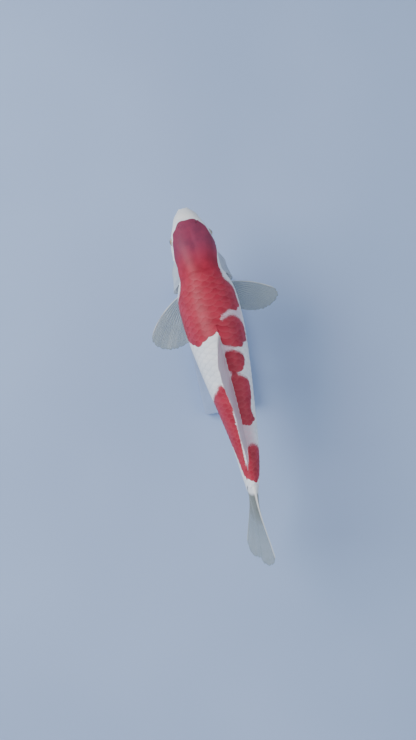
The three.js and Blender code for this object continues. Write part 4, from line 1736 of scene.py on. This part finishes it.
@dataclass
class Stand:
    """The display stand: a low painted block, two steel rods and their collars."""

    corner: float = 3.0
    edge: float = 0.96
    rod_edge: float = 0.4
    collar_section: tuple[tuple[float, float], ...] = (
        (3.3, 0.0), (6.7, 0.0), (7.0, 0.3), (7.0, 1.9), (6.7, 2.3), (5.3, 3.1), (4.7, 3.8),
        (4.4, 4.7), (4.1, 5.0), (3.3, 5.0),
    )

    def base(self) -> bpy.types.Object:
        """The block, with rounded corners and edges."""
        low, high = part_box("stand_base")
        shape = bmesh.new()
        bmesh.ops.create_cube(shape, size=1.0)
        size = high - low
        bmesh.ops.scale(shape, verts=shape.verts, vec=size)
        bmesh.ops.translate(shape, verts=shape.verts, vec=(low + high) / 2.0)
        upright = [edge for edge in shape.edges if abs(edge.verts[0].co.z - edge.verts[1].co.z) > 1e-5]
        bevel(shape, upright, self.corner, 5)
        bevel(shape, level_edges(shape), self.edge, 3)
        bmesh.ops.recalc_face_normals(shape, faces=shape.faces)
        mesh = take_mesh(shape, "stand_block")
        shade(mesh, 30)
        piece = add_piece(mesh, PaintFinish("stand paint"))
        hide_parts("stand_base")
        return piece

    def rod(self, place: str) -> bpy.types.Object:
        """One rod, from inside the block to inside the body.

        Args:
            place: front or rear.

        Returns:
            The rod.
        """
        low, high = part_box(f"stand_rod_{place}")
        shape = bmesh.new()
        height = high.z - low.z
        radius = (high.x - low.x) / 2.0
        bmesh.ops.create_cone(
            shape, cap_ends=True, segments=48, radius1=radius, radius2=radius, depth=height,
            matrix=Matrix.Translation((low + high) / 2.0),
        )
        bevel(shape, level_edges(shape), self.rod_edge, 2)
        mesh = take_mesh(shape, f"stand_rod_{place}_steel")
        shade(mesh, 35)
        piece = add_piece(mesh, SteelFinish("stand steel"))
        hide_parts(f"stand_rod_{place}")
        return piece

    def collar(self, place: str) -> bpy.types.Object:
        """One turned collar round a rod's foot.

        Args:
            place: front or rear.

        Returns:
            The collar.
        """
        low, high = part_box(f"stand_collar_{place}")
        centre = (low + high) / 2.0
        shape = bmesh.new()
        ring = [
            shape.verts.new((centre.x + radius * MM, centre.y, low.z + height * MM))
            for radius, height in self.collar_section
        ]
        edges = [shape.edges.new(pair) for pair in zip(ring, ring[1:] + ring[:1])]
        bmesh.ops.spin(
            shape, geom=ring + edges, cent=(centre.x, centre.y, 0.0), axis=(0.0, 0.0, 1.0),
            angle=math.tau, steps=64, use_merge=True,
        )
        bmesh.ops.remove_doubles(shape, verts=shape.verts, dist=WELD)
        bmesh.ops.recalc_face_normals(shape, faces=shape.faces)
        mesh = take_mesh(shape, f"stand_collar_{place}_steel")
        shade(mesh, 32)
        piece = add_piece(mesh, SteelFinish("stand steel"))
        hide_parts(f"stand_collar_{place}")
        return piece

    def build(self) -> list[bpy.types.Object]:
        """Makes the whole stand."""
        made = [self.base()]
        for place in ("front", "rear"):
            made.append(self.rod(place))
            made.append(self.collar(place))
        return made


# ---------------------------------------------------------------- studio


@dataclass(frozen=True)
class Lamp:
    """One soft square light: its place and width in metres, its strength in watts and its colour."""

    name: str
    place: tuple[float, float, float]
    size: float
    power: float
    tint: tuple[float, float, float]

    def build(self, aim: Vector) -> None:
        """Sets the light up, pointing at a place."""
        light = bpy.data.lights.new(self.name, "AREA")
        light.shape = "SQUARE"
        light.size = self.size
        light.energy = self.power
        light.color = self.tint
        lamp = bpy.data.objects.new(self.name, light)
        lamp.location = self.place
        lamp.rotation_euler = (aim - Vector(self.place)).to_track_quat("-Z", "Y").to_euler()
        bpy.context.scene.collection.objects.link(lamp)


@dataclass
class Studio:
    """A plain pale floor, soft lights and the camera that looks down on the fish."""

    place: tuple[float, float, float] = (0.0278, 0.0303, 0.7672)
    tilt: tuple[float, float, float] = (0.835, -0.979, 167.43)
    lens: float = 36.97
    floor_rings: tuple[float, ...] = (0.0, 0.5, 0.9, 1.4, 1.9)
    cove: float = 0.8
    wall_height: float = 2.6
    middle: tuple[float, float, float] = (0.0, 0.02, 0.1)
    lamps: tuple[Lamp, ...] = (
        Lamp("key", (0.95, -0.5, 1.05), 1.0, 24.0, (1.0, 0.98, 0.95)),
        Lamp("fill", (-0.95, 0.25, 0.8), 1.2, 5.0, (0.93, 0.97, 1.0)),
        Lamp("rim", (0.2, 1.1, 0.6), 0.8, 3.5, (0.93, 0.97, 1.0)),
    )
    surround: tuple[float, float, float] = (0.86, 0.91, 1.0)
    surround_strength: float = 0.42

    def floor(self) -> bpy.types.Object:
        """The pale floor, which curves up into a backdrop all round."""
        shape = bmesh.new()
        flat = [shape.verts.new((radius, 0.0, 0.0)) for radius in self.floor_rings]
        steps = [math.radians(turn) for turn in range(10, 91, 10)]
        cove = [
            (self.floor_rings[-1] + self.cove * math.sin(turn), 0.0, self.cove * (1.0 - math.cos(turn)))
            for turn in steps
        ]
        rim = (self.floor_rings[-1] + self.cove, 0.0, self.wall_height)
        line = flat + [shape.verts.new(place) for place in cove + [rim]]
        edges = [shape.edges.new(pair) for pair in zip(line, line[1:])]
        bmesh.ops.spin(
            shape, geom=line + edges, cent=(0, 0, 0), axis=(0, 0, 1), angle=2 * math.pi, steps=72,
            use_merge=True,
        )
        bmesh.ops.remove_doubles(shape, verts=shape.verts, dist=1e-5)
        bmesh.ops.recalc_face_normals(shape, faces=shape.faces)
        if sum(face.normal.z for face in shape.faces) < 0.0:
            bmesh.ops.reverse_faces(shape, faces=shape.faces)
        mesh = take_mesh(shape, "floor")
        mesh.shade_smooth()
        points = read_points(mesh)
        write_values(mesh, far=smooth(np.hypot(points[:, 0], points[:, 1]), 0.5, 2.6))
        floor = bpy.data.objects.new("floor", mesh)
        floor.data.materials.append(FloorFinish("studio floor").material())
        bpy.context.scene.collection.objects.link(floor)
        floor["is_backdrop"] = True
        return floor

    def lights(self) -> None:
        """The lamps, and a pale surround."""
        for lamp in self.lamps:
            lamp.build(Vector(self.middle))
        world = bpy.data.worlds.new("studio")
        world.use_nodes = True
        surround = world.node_tree.nodes["Background"]
        surround.inputs["Color"].default_value = (*self.surround, 1.0)
        surround.inputs["Strength"].default_value = self.surround_strength
        bpy.context.scene.world = world

    def camera(self) -> None:
        """The camera, nearly straight over the fish."""
        data = bpy.data.cameras.new("camera")
        data.lens = self.lens
        data.sensor_width = 36.0
        data.sensor_fit = "AUTO"
        data.clip_start = 0.01
        data.clip_end = 50.0
        camera = bpy.data.objects.new("camera", data)
        camera.location = self.place
        camera.rotation_euler = [math.radians(turn) for turn in self.tilt]
        bpy.context.scene.collection.objects.link(camera)
        bpy.context.scene.camera = camera

    def build(self) -> None:
        """Sets the scene round the fish."""
        self.floor()
        self.lights()
        self.camera()


# ---------------------------------------------------------------- finishes


WHITE = srgb(240, 244, 248)
PEARL = srgb(220, 228, 237)
BLUSH = srgb(208, 164, 186)
CREAM = srgb(226, 224, 218)
RED = srgb(168, 40, 63)
DEEP_RED = srgb(146, 31, 52)
WARM_RED = srgb(184, 62, 80)
# The head's duller reds: partly the bare skin's own colour, partly painted shade.
HEAD_RED = srgb(138, 54, 82)
DULL_RED = srgb(119, 50, 77)


@dataclass(frozen=True)
class SkinFinish(Finish):
    """Bare wet skin: white and red, with bony covers, a pale snout and slits darkened by painted shade."""

    def paint(self, painter: Painter) -> None:
        """Lays out the skin's nodes."""
        blotches = painter.noise(9.0, 4.0)
        fine = painter.noise(1.1, 3.0)
        # The head's red, blended into the trunk's over the nape, is duller: partly the bare skin's own
        # colour, partly painted shade.
        head = painter.grade(blotches, 0.3, 0.7, DULL_RED, HEAD_RED)
        trunk = painter.grade(blotches, 0.3, 0.7, DEEP_RED, RED)
        red = painter.mix("nape", head, trunk)
        red = painter.mix(painter.span(fine, 0.45, 0.85, 0.0, 0.2), red, WARM_RED)
        white = painter.grade(blotches, 0.3, 0.75, PEARL, WHITE)
        white = painter.tint(white, BLUSH, "blush", 0.75)
        white = painter.tint(white, CREAM, "snout", 0.55)
        # The gill covers' blue-grey: partly the thin bone's own colour over the gills, partly painted
        # shade.
        bony = painter.grade(blotches, 0.3, 0.7, srgb(114, 132, 158), srgb(142, 158, 179))
        bony = painter.mix(painter.span(fine, 0.4, 0.8, 0.0, 0.25), bony, srgb(174, 187, 201))
        white = painter.tint(white, bony, "cover", 0.7)
        edge = painter.math("ADD", "red", painter.span(fine, 0.3, 0.7, -0.12, 0.12))
        colour = painter.grade(edge, 0.3, 0.7, white, red)
        # Painted shade: the mouth's slit and the depths of the gill fold darkened ('dark').
        colour = painter.tint(colour, srgb(96, 40, 40), "dark", 0.85)
        painter.set(Base_Color=colour, Specular_IOR_Level=0.24, Coat_Weight=0.08, Coat_Roughness=0.32)
        painter.set(Roughness=painter.span(fine, 0.2, 0.8, 0.46, 0.6))
        pores = painter.noise(0.55, 2.0)
        painter.set(Normal=painter.bump(painter.math("ADD", pores, fine), 0.05, 0.5))


@dataclass(frozen=True)
class ScaleFinish(Finish):
    """Scales: the same white and red, each scale toned on its own and paler at its rim."""

    def paint(self, painter: Painter) -> None:
        """Lays out the scales' nodes."""
        blotches = painter.noise(9.0, 4.0)
        fine = painter.noise(0.8, 3.0)
        tone = painter.attribute("tone")
        rim = painter.attribute("rim")
        red = painter.grade(blotches, 0.3, 0.7, DEEP_RED, RED)
        red = painter.tint(red, WARM_RED, tone, 0.35)
        red = painter.tint(red, srgb(186, 84, 96), rim, 0.30)
        white = painter.grade(blotches, 0.3, 0.75, PEARL, WHITE)
        white = painter.tint(white, srgb(244, 245, 246), tone, 0.4)
        white = painter.tint(white, BLUSH, "blush", 0.75)
        white = painter.tint(white, srgb(196, 204, 214), rim, 0.35)
        edge = painter.math("ADD", "red", painter.span(fine, 0.3, 0.7, -0.1, 0.1))
        colour = painter.grade(edge, 0.3, 0.7, white, red)
        colour = painter.tint(colour, srgb(90, 60, 60), "pore", 0.6)
        painter.set(Base_Color=colour, Specular_IOR_Level=0.24, Coat_Weight=0.08, Coat_Roughness=0.32)
        painter.set(Roughness=painter.span(fine, 0.2, 0.8, 0.44, 0.58))
        painter.set(Normal=painter.bump(fine, 0.03, 0.5))


@dataclass(frozen=True)
class FinFinish(Finish):
    """Fins: stiff pale rays in a clear, slightly olive web; painted shade darkens the tail's middle and
    foot.
    """

    def paint(self, painter: Painter) -> None:
        """Lays out the fins' nodes."""
        ray = painter.attribute("ray")
        along = painter.attribute("along")
        fine = painter.noise(1.6, 3.0)
        milk = painter.attribute("milk")
        web = painter.grade(fine, 0.3, 0.7, srgb(98, 111, 112), srgb(124, 138, 137))
        # Painted shade: the tail's web darkens over its inner part, fading out towards the tip.
        painted_tail_shade = painter.math("MULTIPLY", "shade", painter.span(along, 0.75, 0.3))
        web = painter.mix(painted_tail_shade, web, srgb(80, 84, 70))
        web = painter.mix(milk, web, srgb(214, 180, 198))
        colour = painter.tint(web, srgb(198, 206, 204), ray, 0.55)
        root = painter.attribute("root")
        # Painted shade: the tail's foot is dark olive; the other fins' feet are pale.
        foot = painter.mix("shade", srgb(226, 229, 232), srgb(112, 117, 110))
        colour = painter.mix(root, colour, foot)
        skin = painter.math("MULTIPLY", "shade", painter.span(along, 0.09, 0.15, 1.0, 0.0))
        colour = painter.mix(skin, colour, srgb(230, 234, 238))
        lead = painter.span("across", 0.0, 0.045, 1.0, 0.0)
        colour = painter.tint(colour, srgb(226, 228, 226), lead, 0.9)
        solid = painter.most(
            painter.math("MULTIPLY", ray, 0.62),
            painter.span(fine, 0.2, 0.8, 0.42, 0.52),
            painter.math("MULTIPLY", milk, 0.9),
            painter.math("MULTIPLY", painted_tail_shade, 0.94),
            root,
            lead,
        )
        painter.set(Base_Color=colour, Alpha=solid, Roughness=0.42)
        painter.set(Specular_IOR_Level=0.45, Coat_Weight=0.25, Coat_Roughness=0.25)
        joints = painter.noise(0.7, 2.0)
        painter.set(Normal=painter.bump(joints, 0.04, 0.5))


@dataclass(frozen=True)
class EyeFinish(Finish):
    """An eye: black pupil, gold ring, silvery iris with dark flecks, white rim."""

    def paint(self, painter: Painter) -> None:
        """Lays out the eye's nodes."""
        radial = painter.attribute("radial")
        fleck = painter.noise(0.5, 4.0)
        iris = painter.grade(fleck, 0.35, 0.7, srgb(158, 146, 116), srgb(214, 214, 206))
        iris = painter.grade(radial, 2.2, 3.5, iris, srgb(150, 152, 148))
        ring = painter.mix(painter.span(radial, 2.2, 2.6, 1.0, 0.0), iris, srgb(204, 168, 92))
        colour = painter.mix(painter.span(radial, 1.95, 2.1, 1.0, 0.0), ring, srgb(6, 7, 10))
        colour = painter.grade(radial, 3.45, 3.8, colour, srgb(226, 230, 234))
        painter.set(Base_Color=colour, Roughness=0.16)
        painter.set(Specular_IOR_Level=0.6, Coat_Weight=1.0, Coat_Roughness=0.04)


@dataclass(frozen=True)
class PaintFinish(Finish):
    """Matt pale paint with a faint brushed grain."""

    def paint(self, painter: Painter) -> None:
        """Lays out the paint's nodes."""
        grain = painter.noise(2.0, 4.0, Vector((1.0, 0.12, 1.0)))
        cloud = painter.noise(24.0, 3.0)
        colour = painter.grade(cloud, 0.3, 0.7, srgb(138, 158, 194), srgb(146, 166, 202))
        colour = painter.mix(painter.span(grain, 0.5, 0.8, 0.0, 0.25), colour, srgb(128, 148, 184))
        painter.set(Base_Color=colour, Roughness=painter.span(grain, 0.2, 0.8, 0.48, 0.62))
        painter.set(Normal=painter.bump(grain, 0.04, 0.4))


@dataclass(frozen=True)
class SteelFinish(Finish):
    """Fine-turned stainless steel."""

    def paint(self, painter: Painter) -> None:
        """Lays out the steel's nodes."""
        turned = painter.noise(0.7, 3.0, Vector((0.2, 0.2, 4.0)))
        colour = painter.grade(turned, 0.3, 0.7, srgb(176, 180, 186), srgb(200, 204, 208))
        painter.set(Base_Color=colour, Metallic=1.0, Roughness=painter.span(turned, 0.2, 0.8, 0.24, 0.38))
        painter.set(Normal=painter.bump(turned, 0.02, 0.4))


@dataclass(frozen=True)
class FloorFinish(Finish):
    """The studio's plain pale floor."""

    def paint(self, painter: Painter) -> None:
        """Lays out the floor's nodes."""
        cloud = painter.noise(260.0, 2.0)
        colour = painter.grade(cloud, 0.3, 0.7, srgb(156, 178, 214), srgb(162, 184, 220))
        colour = painter.mix("far", colour, srgb(240, 243, 248))
        painter.set(Base_Color=colour, Roughness=0.85, Specular_IOR_Level=0.1)


# ---------------------------------------------------------------- the whole


def main(cad_box: tuple[Vector, Vector]) -> None:
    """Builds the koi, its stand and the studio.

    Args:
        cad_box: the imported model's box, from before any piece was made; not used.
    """
    form = BodyForm()
    spine = Spine()
    pattern = Pattern(form)
    cover = GillCover()
    relief = HeadRelief(form, cover)
    Studio().build()
    Skin(form, spine, pattern, cover, relief).build()
    for side in Side:
        Eye(spine, relief, side).build()
    ScaleCoat(form, spine, pattern, cover).build()
    Fins(form, spine).build()
    Stand().build()


if __name__ == "__main__":
    logging.basicConfig(level=logging.INFO, format="%(name)s: %(message)s")
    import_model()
    main(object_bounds())
